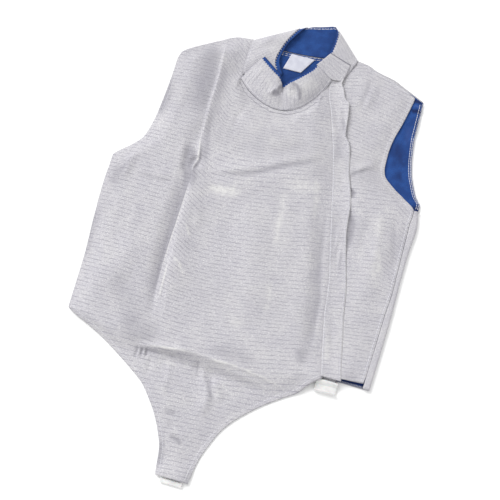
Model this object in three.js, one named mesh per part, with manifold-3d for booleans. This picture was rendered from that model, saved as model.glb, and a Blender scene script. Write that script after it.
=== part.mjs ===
// A fencing lame laid flat on its back, front up, as a scene graph of closed cloth walls.
// Millimetres, +Z up. +Y runs from the tongue to the neck, +X to the wearer's left,
// and z = 0 is the surface that the garment lies on.
import * as THREE from 'three';
import { mergeVertices } from 'three/addons/utils/BufferGeometryUtils.js';
import Module from 'manifold-3d';

// Driving dimensions
const CLOTH = 1.4; // thickness of the conductive cloth with its seam allowances
const LINING = 1.0; // thickness of the blue lining
const GAP = 0.3; // air left between two pieces that touch
const FOLD_RADIUS = 2.5; // of the back where it turns forward round the wearer's left side
const HEM_Y = -187; // back hem
const HIP_Y = -188; // front corner where the side meets the leg line
const UNDERARM_Y = 114; // top of the side seam
const BEND_Y = 100; // above this the sections of the back tilt towards the shoulders
const NECK_Y = 338; // neck end of the shoulder seams
const LINING_Z = CLOTH + GAP; // underside of the lining on the back
const REST_Z = LINING_Z + LINING + 2 * GAP; // underside of the front where it lies on the lining
const TURNED_Z = 2 * FOLD_RADIUS; // underside of the turned strip of the back
const FRONT_TO_ZIP = 6.6; // from the front's edge to the side panel's edge, with the zip between

const COLOURS = {
  lame: { color: 0xcdcdd4, roughness: 0.55, metalness: 0.35 },
  lining: { color: 0x32509b, roughness: 0.8, metalness: 0 },
  label: { color: 0xe2e4f4, roughness: 0.7, metalness: 0 },
  webbing: { color: 0xe8e8ee, roughness: 0.8, metalness: 0 },
  plastic: { color: 0xebebe8, roughness: 0.35, metalness: 0 },
};

// Sections of the front from the end of the tongue up to the shoulder: where its left edge, the
// long crease, the two sides of the neck and its right edge lie across the garment.
const FRONT_SECTIONS = [
  { y: -396, left: -33, crease: -21, neckLeft: -11, neckRight: 3, right: 18 },
  { y: -380, left: -35.5, crease: -24, neckLeft: -13, neckRight: 3, right: 19.5 },
  { y: -357, left: -39, crease: -26, neckLeft: -14, neckRight: 5, right: 23.5 },
  { y: -335, left: -48, crease: -31, neckLeft: -17, neckRight: 8, right: 31 },
  { y: -310, left: -62, crease: -40, neckLeft: -22, neckRight: 12, right: 42 },
  { y: -290, left: -77, crease: -50, neckLeft: -27, neckRight: 16, right: 56 },
  { y: -270, left: -95, crease: -61, neckLeft: -32, neckRight: 24, right: 75 },
  { y: -254, left: -118, crease: -75, neckLeft: -38, neckRight: 33, right: 93 },
  { y: -236, left: -147, crease: -88, neckLeft: -43, neckRight: 43, right: 117 },
  { y: -219, left: -177, crease: -97, neckLeft: -47, neckRight: 52, right: 141 },
  { y: -205, left: -207, crease: -101, neckLeft: -50, neckRight: 60, right: 152 },
  { y: -196, left: -229, crease: -102, neckLeft: -52, neckRight: 64, right: 161 },
  { y: HIP_Y, left: -241, crease: -101, neckLeft: -53, neckRight: 68, right: 170 },
  { y: -165, left: -242, crease: -98, neckLeft: -56, neckRight: 72, right: 166 },
  { y: -100, left: -244.5, crease: -112, neckLeft: -62, neckRight: 78, right: 152 },
  { y: -40, left: -250, crease: -119, neckLeft: -68, neckRight: 80, right: 145 },
  { y: 36, left: -254.5, crease: -122, neckLeft: -75, neckRight: 76, right: 126 },
  { y: 73, left: -254.5, crease: -122, neckLeft: -78, neckRight: 72, right: 118 },
  { y: 84, left: -246, crease: -122, neckLeft: -79, neckRight: 70, right: 115.5 },
  { y: 100, left: -229, crease: -122, neckLeft: -80, neckRight: 67, right: 112 },
  { y: 119, left: -215, crease: -122, neckLeft: -82, neckRight: 63, right: 108 },
  { y: 143, left: -209, crease: -122, neckLeft: -84, neckRight: 59, right: 102 },
  { y: 170, left: -206, crease: -122, neckLeft: -86, neckRight: 54, right: 96.5 },
  { y: 237, left: -203.5, crease: -124, neckLeft: -89.5, neckRight: 44, right: 76 },
  { y: 274, left: -204, crease: -127, neckLeft: -91, neckRight: 46, right: 62.5 },
  { y: 299, left: -204, crease: -129, neckLeft: -91.3, neckRight: 56.3, right: 59.6 },
  { y: NECK_Y, left: -204, crease: -128, neckLeft: -91.3, neckRight: 56, right: 59 },
];

// Front neckline between its two sides, where the collar is sewn on.
const NECKLINE = [
  { x: -91, y: 265.5 },
  { x: -72.6, y: 246.2 },
  { x: -55, y: 236 },
  { x: -38, y: 229 },
  { x: -20.5, y: 225.5 },
  { x: -6.5, y: 226.5 },
  { x: 6.5, y: 231 },
  { x: 20, y: 239.5 },
  { x: 36, y: 257.5 },
  { x: 46, y: 274 },
];

// Shoulder seam of the wearer's right side, from the armhole to the neck.
const SHOULDER = [
  { x: -204, y: 271 },
  { x: -201.5, y: 282 },
  { x: -189, y: 293 },
  { x: -164, y: 309 },
  { x: -140, y: 323 },
  { x: -127, y: 331 },
  { x: -113, y: 336 },
  { x: -91, y: NECK_Y },
];

// How far up each line of the front ends at the shoulder or the neck.
const FRONT_TOPS = { left: 271, crease: 331, neckLeft: NECK_Y, neckRight: 299, right: 297 };
const FRONT_NECK_Y = 266; // the section that meets the bottom of the neck opening
const FRONT_BEND_Y = 150;

// Sections of the wearer's left front: its edge at the zip, and the side seam and armhole.
const SIDE_SECTIONS = [
  { y: -179, left: 176.5, right: 232 },
  { y: -165, left: 172.6, right: 233.8 },
  { y: -113, left: 161.5, right: 236.3 },
  { y: -67, left: 153.5, right: 238.5 },
  { y: -25, left: 147, right: 241.5 },
  { y: 36, left: 132.6, right: 241.5 },
  { y: 88, left: 121, right: 241.5 },
  { y: 105, left: 117.6, right: 243 },
  { y: UNDERARM_Y, left: 115.6, right: 242.5 },
  { y: 130, left: 112, right: 225 },
  { y: 141, left: 109, right: 208 },
  { y: 161, left: 104.6, right: 187 },
  { y: 175, left: 101.6, right: 182.5 },
  { y: 196, left: 95, right: 181.5 },
  { y: 218, left: 88.5, right: 183.5 },
  { y: 251, left: 78.6, right: 190.5 },
  { y: 287, left: 68.5, right: 197.5 },
  { y: 306, left: 75.5, right: 200 },
  { y: 335, left: 86.5, right: 200 },
  { y: 348, left: 90, right: 200 },
];
const SIDE_TOPS = { left: 347, right: 307 };
const SIDE_SHOULDER = [
  { x: 88, y: 348 },
  { x: 106, y: 346 },
  { x: 130, y: 337 },
  { x: 160, y: 328 },
  { x: 188, y: 314.5 },
  { x: 201, y: 307 },
];

// Sections of the back: its left edge and its outer right edge, which is the turned fold below
// the armhole and the cut edge of the armhole above it.
const BACK_SECTIONS = [
  { y: HEM_Y, left: -239.5, right: 245 },
  { y: -123, left: -241.5, right: 248 },
  { y: -70, left: -245, right: 250 },
  { y: -16, left: -249, right: 250.5 },
  { y: 39, left: -252.5, right: 252 },
  { y: 73, left: -252.5, right: 255 },
  { y: 84, left: -244, right: 255.5 },
  { y: 100, left: -227, right: 254 },
  { y: UNDERARM_Y, left: -216, right: 251 },
  { y: 123, left: -211.5, right: 251.5 },
  { y: 140, left: -208, right: 241 },
  { y: 155, left: -205.5, right: 234 },
  { y: 176, left: -203.7, right: 226 },
  { y: 207, left: -202, right: 220 },
  { y: 247, left: -201.5, right: 216.5 },
  { y: 281, left: -202, right: 216.5 },
  { y: 306, left: -202, right: 216 },
];
const BACK_TOP = [
  { x: -202, y: 269 },
  { x: -188, y: 291 },
  { x: -163, y: 307 },
  { x: -139, y: 321 },
  { x: -112, y: 333.5 },
  { x: -88, y: 335.2 },
  { x: -41, y: 332.5 },
  { x: -1, y: 333.8 },
  { x: 45, y: 339.2 },
  { x: 66, y: 342.8 },
  { x: 85, y: 347 },
  { x: 93, y: 348.5 },
  { x: 106, y: 348 },
  { x: 130, y: 339 },
  { x: 160, y: 332 },
  { x: 179, y: 323 },
  { x: 201, y: 313 },
  { x: 216, y: 306 },
];
const SIDE_SEAM = [
  { y: HEM_Y, x: 233.5 },
  { y: -113, x: 237 },
  { y: -67, x: 239.2 },
  { y: -25, x: 242.2 },
  { y: 88, x: 242.2 },
  { y: 105, x: 243.8 },
  { y: UNDERARM_Y, x: 243.8 },
];

// Free edge of the flap over the zip.
const PLACKET_SECTIONS = [
  { y: -186, left: 167, right: 199 },
  { y: -165, left: 162.5, right: 194.5 },
  { y: -127, left: 154.5, right: 187 },
  { y: -88, left: 147, right: 178.5 },
  { y: -43, left: 141.5, right: 171 },
  { y: 18, left: 128, right: 155 },
  { y: 55, left: 120, right: 147 },
  { y: 95, left: 111, right: 143 },
  { y: 121, left: 105.5, right: 136 },
  { y: 145, left: 99.5, right: 128 },
  { y: 184, left: 89.5, right: 119 },
  { y: 197, left: 85.5, right: 114 },
  { y: 210, left: 81.5, right: 105 },
  { y: 249, left: 69, right: 100 },
  { y: 267, left: 61.5, right: 96 },
  { y: 272, left: 59.8, right: 89 },
  { y: 290, left: 57, right: 81 },
  { y: 299, left: 56.5, right: 76 },
];

// Folds of the front: a line across the cloth, the height of the fold, and its width on each side.
// left and right are the sides of a line that is followed from its first to its last point.
const FOLDS = [
  { name: 'ridge above the armpit', height: 3.5, left: 16, right: 44,
    path: [[-128, 318], [-128, 262], [-122, 200], [-121, 135]] },
  { name: 'valley beside the long crease', height: -4.5, left: 14, right: 9,
    path: [[-134, 120], [-133, 50], [-134, -30], [-127, -95], [-113, -160]] },
  { name: 'step of the long crease', height: 4.5, left: 30, right: 8,
    path: [[-112, 120], [-113, 50], [-111, -30], [-104, -100], [-90, -165]] },
  { name: 'pocket in the crease', height: -3.5, left: 9, right: 9, path: [[-122, 106], [-112, 84]] },
  { name: 'crest across the tongue', height: 5, left: 13, right: 9,
    path: [[-112, -212], [-60, -209], [-26, -206], [15, -209], [60, -218], [104, -222]] },
  { name: 'hollow below the crest', height: -2.5, left: 10, right: 12,
    path: [[-96, -226], [-55, -229], [-10, -232], [30, -229]] },
  { name: 'fold over the chest', height: 3.5, left: 20, right: 34,
    path: [[-92, 84], [-60, 94], [-10, 108], [40, 130], [78, 150]] },
  { name: 'valley beside the placket', height: -3, left: 12, right: 10,
    path: [[103, 104], [100, 70], [112, 0], [126, -69], [134, -120], [136, -165]] },
  { name: 'fold below the neck', height: 2.2, left: 14, right: 14,
    path: [[-76, 196], [-40, 176], [0, 172], [40, 184]] },
  { name: 'fold from the hip', height: 2.5, left: 22, right: 18,
    path: [[-206, -150], [-180, -100], [-172, -40]] },
  { name: 'fold down the belly', height: 2.5, left: 24, right: 24,
    path: [[-20, 60], [10, 0], [28, -80], [34, -150]] },
  { name: 'fold into the tongue', height: 3, left: 9, right: 11,
    path: [[5, -232], [10, -262], [6, -300]] },
  { name: 'fold from the armpit', height: 2, left: 7, right: 9,
    path: [[-222, 86], [-226, 60], [-224, 36]] },
  { name: 'side fold at the armhole', height: 2, left: 9, right: 12,
    path: [[132, 146], [150, 162], [170, 178]] },
  { name: 'side fold at the shoulder', height: 2.2, left: 11, right: 14,
    path: [[120, 322], [119, 290], [121, 262]] },
  { name: 'side fold at the hip', height: 2.4, left: 16, right: 14,
    path: [[205, 60], [198, 0], [204, -70]] },
];

// Stations of the collar round the back, from the hidden end on the wearer's left to the hidden
// end on the right: base point, top point and the lift of the cloth between them.
const BACK_COLLAR = [
  { base: [69.5, 302, 5.4], top: [33, 327, 6.4], lift: 0.6 },
  { base: [73.4, 306, 5.4], top: [40.5, 346, 7.4], lift: 1 },
  { base: [80, 320.5, 5.4], top: [43.5, 366, 8.6], lift: 1.6 },
  { base: [85, 336, 5.4], top: [43.5, 383.5, 9], lift: 1.6 },
  { base: [88, 345.5, 5.2], top: [42, 393, 7.8], lift: 0.6 },
  { base: [86.5, 350.4, 3.8], top: [39, 399.4, 5], lift: 0 },
  { base: [80, 349.2, 2.6], top: [34.5, 400.6, 2.6], lift: 0 },
  { base: [45, 340.6, 2.4], top: [28, 398.4, 2.4], lift: 0 },
  { base: [-1.3, 335, 2.4], top: [14.5, 394, 2.4], lift: 0 },
  { base: [-41.4, 333.9, 2.4], top: [1, 390, 2.4], lift: 0 },
  { base: [-80, 336.9, 2.6], top: [-4.5, 387, 2.6], lift: 0 },
  { base: [-86.4, 337.6, 3.8], top: [-8.5, 385, 5], lift: 0 },
  { base: [-88.4, 333, 5.2], top: [-12, 379, 8], lift: 0.8 },
  { base: [-88.6, 316, 5.4], top: [-22.5, 361, 9.6], lift: 1.8 },
  { base: [-89, 292, 5.4], top: [-30.6, 344, 9], lift: 1.6 },
  { base: [-88.6, 278, 5.4], top: [-36, 312, 7.4], lift: 0.6 },
  { base: [-86, 271.5, 5.4], top: [-24, 288, 6], lift: 0 },
];

// Stations of the front half of the collar, from its end on the wearer's right to the tab.
const FRONT_COLLAR = [
  { base: [-88.6, 264.5, 5.4], top: [-61, 307.6, 15], lift: 3.2 },
  { base: [-70.5, 248, 5.4], top: [-48, 298, 16], lift: 4 },
  { base: [-53.5, 237.5, 5.4], top: [-36.5, 289.5, 16], lift: 4.4 },
  { base: [-37.5, 230.6, 5.4], top: [-27, 283, 15.4], lift: 4.4 },
  { base: [-20.5, 227.1, 5.4], top: [-23, 276, 12.6], lift: 2.8 },
  { base: [-7, 228.1, 5.4], top: [-19.4, 268, 10.4], lift: 0.6 },
  { base: [5.8, 232.6, 5.4], top: [-9, 277, 13.2], lift: 2.4 },
  { base: [18.9, 240.9, 5.4], top: [2.4, 287.5, 15.4], lift: 4.2 },
  { base: [34.6, 258.5, 5.4], top: [14, 299.5, 16], lift: 4 },
  { base: [46, 277.5, 5.8], top: [21.5, 309, 16], lift: 3.2 },
  { base: [55.4, 302, 7.2], top: [26, 318.6, 15.4], lift: 1.6 },
];
const COLLAR_OFFSET = CLOTH / 2 + LINING / 2 + GAP; // between the middles of its two layers
const BLUE_EDGE = 0.92; // the grey of the collar stops here, and the blue edge goes on

// Tab of the collar, from its seam to its free end.
const TAB = [
  { lower: [56.4, 302.8, 9.4], upper: [26.8, 319.4, 16.9] },
  { lower: [74, 305, 9], upper: [33.5, 331, 16.2] },
  { lower: [78.5, 320, 9.2], upper: [38.8, 340, 15.4] },
  { lower: [80.8, 336.4, 9.4], upper: [44, 349, 14.6] },
];

const LABEL = [
  { y: 301, left: -27, right: 12 },
  { y: 316, left: -22.5, right: 18 },
  { y: 331, left: -18, right: 24 },
];

// Back strap and its hook, and the loop and ring at the end of the tongue
const HOOK = {
  x: 179, width: 34, axisY: -191, axisZ: 4, // its bar
  bar: 1.6, // radius of the bar
  arm: 3.4, // width of each arm
  plate: 2.2, // thickness of the plate
  plateY: -196.4, // where the plate starts
  plateZ: 2.4, // its underside
  lipY: -207.6, // where it curls up
  curl: 3.6, // radius of the curl
  curlTurn: 0.86, // of half a turn
};
const RING = {
  x: -7, width: 34, axisY: -393.2, axisZ: 2.3, // its inner bar
  bar: 1, // radius of the inner bar
  arm: 3.2, // width of each side bar
  thickness: 2.4,
  outerY: -397.2, // the outer bar is between these two
  endY: -404.4,
  chamfer: 0.5,
};
const WEBBING = 1; // thickness of the strap and the loop
const STRAP = { width: 24, endY: -168, endZ: LINING_Z + LINING + GAP };
const LOOP = { width: 25, endY: -379, endZ: 0 };

// How the front rises over the bar of the hook and over the ring's
const HOOK_RISE = { x: HOOK.x, height: 4.6, half: 14, outer: 46, fromY: -150, toY: -180 };
const RING_RISE = { x: RING.x, height: 5, half: 14, outer: 32, fromY: -366, toY: -388 };

// Air below the front and the side panel
const EDGE_REACH = 34; // an edge lies flat, and this far in the cloth is at its full height
const SEAM_REACH = 40; // the same from the zip
const SHOULDER_REACH = 30;
const AIR = { tongue: 1.6, body: 5.2, side: 2.6, neck: 0.9 };

// Grid sizes of the cloth walls
const FRONT_ROWS = [
  { from: -396, to: -240, steps: 12 },
  { from: -240, to: HIP_Y, steps: 9 },
  { from: HIP_Y, to: 76, steps: 18 },
  { from: 76, to: 150, steps: 8 },
  { from: 150, to: FRONT_NECK_Y, steps: 8 },
  { from: FRONT_NECK_Y, to: NECK_Y, steps: 6 },
];
const SIDE_ROWS = [
  { from: -179, to: UNDERARM_Y, steps: 20 },
  { from: UNDERARM_Y, to: 178, steps: 8 },
  { from: 178, to: 347, steps: 12 },
];
const BACK_ROWS = [
  { from: HEM_Y, to: UNDERARM_Y, steps: 14 },
  { from: UNDERARM_Y, to: 180, steps: 7 },
  { from: 180, to: NECK_Y, steps: 7 },
];

// Value of one column of a table at a place between its rows, on a smooth line with no overshoot.
function read(table, at, key, column) {
  const last = table.length - 1;
  const place = Math.min(Math.max(at, table[0][key]), table[last][key]);
  let row = 0;
  while (row < last - 1 && table[row + 1][key] < place) row += 1;
  const slope = (i) => (table[i + 1][column] - table[i][column]) / (table[i + 1][key] - table[i][key]);
  const tangent = (i) => {
    if (i === 0) return slope(0);
    if (i === last) return slope(last - 1);
    const before = slope(i - 1);
    const after = slope(i);
    return before * after <= 0 ? 0 : (2 * before * after) / (before + after);
  };
  const step = table[row + 1][key] - table[row][key];
  const t = (place - table[row][key]) / step;
  const rise = table[row + 1][column] - table[row][column];
  const start = tangent(row) * step;
  const end = tangent(row + 1) * step;
  return table[row][column] + start * t + (3 * rise - 2 * start - end) * t * t
    + (start + end - 2 * rise) * t * t * t;
}

function spread(parts) {
  const places = [parts[0].from];
  for (const { from, to, steps } of parts) {
    for (let step = 1; step <= steps; step += 1) places.push(from + ((to - from) * step) / steps);
  }
  return places;
}

function smooth(from, to, value) {
  const t = Math.min(Math.max((value - from) / (to - from), 0), 1);
  return t * t * (3 - 2 * t);
}

const mix = (a, b, t) => a + (b - a) * t;

// Height that one fold adds at a point: a soft ridge or trough along its path, fading at its ends.
function foldHeight(fold, x, y) {
  let nearest = Infinity;
  let side = 1;
  let along = 0;
  const spans = fold.path.length - 1;
  for (let i = 0; i < spans; i += 1) {
    const [ax, ay] = fold.path[i];
    const [bx, by] = fold.path[i + 1];
    const dx = bx - ax;
    const dy = by - ay;
    const t = Math.min(Math.max(((x - ax) * dx + (y - ay) * dy) / (dx * dx + dy * dy), 0), 1);
    const distance = Math.hypot(x - ax - t * dx, y - ay - t * dy);
    if (distance < nearest) {
      nearest = distance;
      side = dx * (y - ay) - dy * (x - ax);
      along = (i + t) / spans;
    }
  }
  const width = side > 0 ? fold.left : fold.right;
  const fade = smooth(-0.05, 0.3, along) * smooth(-0.05, 0.3, 1 - along);
  return fold.height * fade * Math.exp(-((nearest / width) ** 2));
}

// Underside of the layer that is up: the front, the zip and the side panel lie on this one form.
function frontTop(x) {
  if (x < -91) return read(SHOULDER, x, 'x', 'y');
  if (x < 46) return read(NECKLINE, x, 'x', 'y');
  return 301;
}

function rise(form, x, y) {
  const across = smooth(form.outer, form.half, Math.abs(x - form.x));
  return form.height * across * smooth(form.fromY, form.toY, y);
}

function upperZ(x, y) {
  const left = x - read(FRONT_SECTIONS, y, 'y', 'left');
  const right = read(FRONT_SECTIONS, y, 'y', 'right') - x;
  const body = smooth(-232, -197, y);
  const onBack = mix(CLOTH + GAP, REST_Z, smooth(0, 11, left));
  let folds = 0;
  for (const fold of FOLDS) folds += foldHeight(fold, x, y);
  if (right > -FRONT_TO_ZIP / 2) {
    const top = frontTop(x) - y;
    const inside = smooth(0, EDGE_REACH, left) * smooth(-4, SEAM_REACH, right) * smooth(0, EDGE_REACH, top);
    const air = mix(AIR.tongue, AIR.body, body) * inside;
    const neck = AIR.neck * smooth(14, 0, top) * smooth(-100, -84, x);
    const lift = air + neck + folds * inside + rise(HOOK_RISE, x, y) + rise(RING_RISE, x, y);
    return body * onBack + Math.max(lift, 0);
  }
  const seam = read(SIDE_SEAM, y, 'y', 'x') - x;
  const outer = read(SIDE_SECTIONS, y, 'y', 'right') - x;
  const turned = (TURNED_Z - REST_Z) * smooth(30, 0, seam) * smooth(UNDERARM_Y + 26, UNDERARM_Y - 6, y);
  const inside = smooth(-4, SEAM_REACH, -right - FRONT_TO_ZIP) * smooth(0, SHOULDER_REACH, outer)
    * smooth(0, SHOULDER_REACH, read(SIDE_SHOULDER, x, 'x', 'y') - y);
  return REST_Z + turned + (AIR.side + folds) * inside + rise(HOOK_RISE, x, y);
}

// Closed wall between two grids of points. A cell is left out where keep says so.
function wall(name, lower, upper, colour, keep = () => true) {
  const rows = lower.length;
  const columns = lower[0].length;
  const positions = [];
  const used = (r, c) => r >= 0 && c >= 0 && r < rows - 1 && c < columns - 1 && keep(r, c);
  const triangle = (a, b, c) => positions.push(...a, ...b, ...c);
  const quad = (a, b, c, d) => {
    triangle(a, b, c);
    triangle(a, c, d);
  };
  for (let r = 0; r < rows - 1; r += 1) {
    for (let c = 0; c < columns - 1; c += 1) {
      if (!used(r, c)) continue;
      quad(upper[r][c], upper[r][c + 1], upper[r + 1][c + 1], upper[r + 1][c]);
      quad(lower[r][c], lower[r + 1][c], lower[r + 1][c + 1], lower[r][c + 1]);
      if (!used(r - 1, c)) quad(lower[r][c], lower[r][c + 1], upper[r][c + 1], upper[r][c]);
      if (!used(r + 1, c)) quad(lower[r + 1][c + 1], lower[r + 1][c], upper[r + 1][c], upper[r + 1][c + 1]);
      if (!used(r, c - 1)) quad(lower[r + 1][c], lower[r][c], upper[r][c], upper[r + 1][c]);
      if (!used(r, c + 1)) quad(lower[r][c + 1], lower[r + 1][c + 1], upper[r + 1][c + 1], upper[r][c + 1]);
    }
  }
  const geometry = new THREE.BufferGeometry();
  geometry.setAttribute('position', new THREE.Float32BufferAttribute(positions, 3));
  return piece(name, geometry, colour);
}

function piece(name, geometry, colour) {
  const merged = mergeVertices(geometry, 1e-4);
  merged.computeVertexNormals();
  const mesh = new THREE.Mesh(merged, new THREE.MeshStandardMaterial(COLOURS[colour]));
  mesh.name = name;
  return mesh;
}

// Wall of one thickness with its underside on a height field.
function layer(name, plan, height, thickness, colour, keep) {
  const lower = plan.map((row) => row.map(([x, y]) => [x, y, height(x, y)]));
  const upper = lower.map((row) => row.map(([x, y, z]) => [x, y, z + thickness]));
  return wall(name, lower, upper, colour, keep);
}

// Wall round a grid of middle points, moved out both ways along the grid's own normals.
function shell(name, middle, thickness, colour, keep) {
  const normals = gridNormals(middle);
  const moved = (amount) => middle.map((row, r) => (
    row.map((point, c) => offset(point, normals[r][c], amount))
  ));
  return wall(name, moved(-thickness / 2), moved(thickness / 2), colour, keep);
}

function offset(point, normal, amount) {
  return [point[0] + normal.x * amount, point[1] + normal.y * amount, point[2] + normal.z * amount];
}

function gridNormals(grid) {
  const at = (r, c) => new THREE.Vector3(...grid[r][c]);
  const lastRow = grid.length - 1;
  const lastColumn = grid[0].length - 1;
  return grid.map((row, r) => row.map((_, c) => {
    const across = at(r, Math.min(c + 1, lastColumn)).sub(at(r, Math.max(c - 1, 0)));
    const up = at(Math.min(r + 1, lastRow), c).sub(at(Math.max(r - 1, 0), c));
    return across.cross(up).normalize();
  }));
}

// Height of a line of the front at a section: plain up to the bend, then spread up to its end.
function climb(section, bend, sectionTop, lineTop) {
  if (section <= bend) return section;
  return bend + ((section - bend) * (lineTop - bend)) / (sectionTop - bend);
}

function frontLinePoint(line, section) {
  let y = climb(section, FRONT_BEND_Y, NECK_Y, FRONT_TOPS[line]);
  if (line === 'neckRight') {
    const lineNeck = NECKLINE[NECKLINE.length - 1].y;
    y = section <= FRONT_NECK_Y
      ? climb(section, FRONT_BEND_Y, FRONT_NECK_Y, lineNeck)
      : mix(lineNeck, FRONT_TOPS[line], (section - FRONT_NECK_Y) / (NECK_Y - FRONT_NECK_Y));
  }
  return [read(FRONT_SECTIONS, y, 'y', line), y];
}

const FRONT_BLOCKS = [
  { from: 'left', to: 'crease', steps: 7 },
  { from: 'crease', to: 'neckLeft', steps: 4 },
  { from: 'neckLeft', to: 'neckRight', steps: 9 },
  { from: 'neckRight', to: 'right', steps: 4 },
];

function frontPlan() {
  return spread(FRONT_ROWS).map((section) => {
    const row = [frontLinePoint('left', section)];
    for (const { from, to, steps } of FRONT_BLOCKS) {
      const start = frontLinePoint(from, section);
      const end = frontLinePoint(to, section);
      for (let step = 1; step <= steps; step += 1) {
        const t = step / steps;
        const x = mix(start[0], end[0], t);
        let y = mix(start[1], end[1], t);
        if (step < steps && from === 'neckLeft') {
          y = climb(section, FRONT_BEND_Y, FRONT_NECK_Y, read(NECKLINE, x, 'x', 'y'));
        } else if (step < steps && from !== 'neckRight') {
          y = climb(section, FRONT_BEND_Y, NECK_Y, read(SHOULDER, x, 'x', 'y'));
        }
        row.push([x, y]);
      }
    }
    return row;
  });
}

function makeFront() {
  const plan = frontPlan();
  const neckRow = plan.length - 1 - FRONT_ROWS[FRONT_ROWS.length - 1].steps;
  const neckStart = FRONT_BLOCKS[0].steps + FRONT_BLOCKS[1].steps;
  const neckEnd = neckStart + FRONT_BLOCKS[2].steps;
  const keep = (r, c) => r < neckRow || c < neckStart || c >= neckEnd;
  return layer('front_panel', plan, upperZ, CLOTH, 'lame', keep);
}

// Grid between two edges, section by section, whose top follows a curve across it.
function tablePlan({ sections, rows, columns, bend, top, curve, left, right }) {
  const places = spread(rows);
  const sectionTop = places[places.length - 1];
  return places.map((section) => {
    const leftY = climb(section, bend, sectionTop, top.left);
    const rightY = climb(section, bend, sectionTop, top.right);
    const startX = read(sections, leftY, 'y', 'left') + left;
    const endX = read(sections, rightY, 'y', 'right') - right(rightY);
    return Array.from({ length: columns + 1 }, (_, column) => {
      const x = mix(startX, endX, column / columns);
      return [x, climb(section, bend, sectionTop, read(curve, x, 'x', 'y'))];
    });
  });
}

function makeSide() {
  const plan = tablePlan({
    sections: SIDE_SECTIONS,
    rows: SIDE_ROWS,
    columns: 12,
    bend: 178,
    top: SIDE_TOPS,
    curve: SIDE_SHOULDER,
    left: 0,
    right: () => 0,
  });
  return layer('side_panel', plan, upperZ, CLOTH, 'lame');
}

// Closure between the two fronts, hidden below the flap.
function makeZip() {
  const plan = spread([{ from: -178, to: 284, steps: 30 }]).map((y) => {
    const front = read(FRONT_SECTIONS, y, 'y', 'right') + GAP;
    const side = read(SIDE_SECTIONS, y, 'y', 'left') - 2 * GAP;
    return [[front, y], [(front + side) / 2, y], [side, y]];
  });
  return layer('zip', plan, upperZ, CLOTH, 'lame');
}

// Flap over the zip, made from the points of what it lies on, moved out.
function makePlacket() {
  const columns = 6;
  const plan = spread([{ from: -186, to: 200, steps: 38 }, { from: 200, to: 299, steps: 14 }]).map((y) => {
    const start = read(PLACKET_SECTIONS, y, 'y', 'left');
    const end = read(PLACKET_SECTIONS, y, 'y', 'right');
    return Array.from({ length: columns + 1 }, (_, column) => [mix(start, end, column / columns), y]);
  });
  return layer('placket', plan, placketZ, CLOTH, 'lame');
}

function placketZ(x, y) {
  const start = read(PLACKET_SECTIONS, y, 'y', 'left');
  const end = read(PLACKET_SECTIONS, y, 'y', 'right');
  const across = (x - start) / (end - start);
  const wave = 0.8 + 0.8 * Math.sin(y / 17) + 0.6 * Math.sin(y / 41 + 1);
  return upperZ(x, y) + CLOTH + 3 * GAP + Math.max(wave, 0.2) * across * across;
}

// The back: flat on the surface, turned forward round the wearer's left side as far as the seam.
function makeBack() {
  const flatColumns = 9;
  const turnSteps = 6;
  const middleZ = CLOTH / 2;
  const turnWidth = FOLD_RADIUS + CLOTH / 2;
  const plan = tablePlan({
    sections: BACK_SECTIONS,
    rows: BACK_ROWS,
    columns: flatColumns,
    bend: BEND_Y,
    top: { left: 269, right: 306 },
    curve: BACK_TOP,
    left: 0,
    right: (y) => (y <= UNDERARM_Y ? turnWidth + CLOTH / 2 : 0),
  });
  const middle = plan.map((row) => {
    const points = row.map(([x, y]) => [x, y, middleZ]);
    const [edgeX, y] = row[flatColumns];
    for (let step = 1; step <= turnSteps; step += 1) {
      const angle = (Math.PI * step) / turnSteps;
      points.push([edgeX + Math.sin(angle) * turnWidth, y, middleZ + (1 - Math.cos(angle)) * FOLD_RADIUS]);
    }
    const seamX = read(SIDE_SEAM, y, 'y', 'x') + GAP;
    const turnedZ = TURNED_Z + CLOTH / 2;
    points.push([mix(edgeX, seamX, 0.5), y, turnedZ], [seamX, y, turnedZ]);
    return points;
  });
  const keep = (r, c) => c < flatColumns || plan[r + 1][flatColumns][1] <= UNDERARM_Y + GAP;
  return shell('back_panel', middle, CLOTH, 'lame', keep);
}

function makeBackLining() {
  const plan = tablePlan({
    sections: BACK_SECTIONS,
    rows: [
      { from: HEM_Y + 1, to: UNDERARM_Y, steps: 8 },
      { from: UNDERARM_Y, to: 180, steps: 7 },
      { from: 180, to: NECK_Y, steps: 7 },
    ],
    columns: 8,
    bend: BEND_Y,
    top: { left: 266, right: 303.5 },
    curve: BACK_TOP.map(({ x, y }) => ({ x, y: y - (x < -89 || x > 88 ? 3 : 0.6) })),
    left: 12,
    right: (y) => (y <= UNDERARM_Y ? 9 : 3),
  });
  return layer('back_lining', plan, () => LINING_Z, LINING, 'lining');
}

// Grid of the collar: smooth round its stations, straight but lifted from base to top.
function collarGrid(stations, stepsAround, stepsUp, top) {
  const curve = (pick) => {
    const points = stations.map((s) => new THREE.Vector3(...pick(s)));
    return new THREE.CatmullRomCurve3(points, false, 'centripetal');
  };
  const lifts = stations.map((s, i) => ({ at: i, lift: s.lift }));
  const bases = curve((s) => s.base);
  const tops = curve((s) => s.top);
  const last = stations.length - 1;
  const columns = stepsAround * last;
  return Array.from({ length: stepsUp + 1 }, (_, row) => {
    const up = (top * row) / stepsUp;
    return Array.from({ length: columns + 1 }, (__, column) => {
      const t = column / columns;
      const point = bases.getPoint(t).lerp(tops.getPoint(t), up);
      const lift = read(lifts, t * last, 'at', 'lift');
      return [point.x, point.y, point.z + lift * 4 * up * (1 - up)];
    });
  });
}

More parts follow.
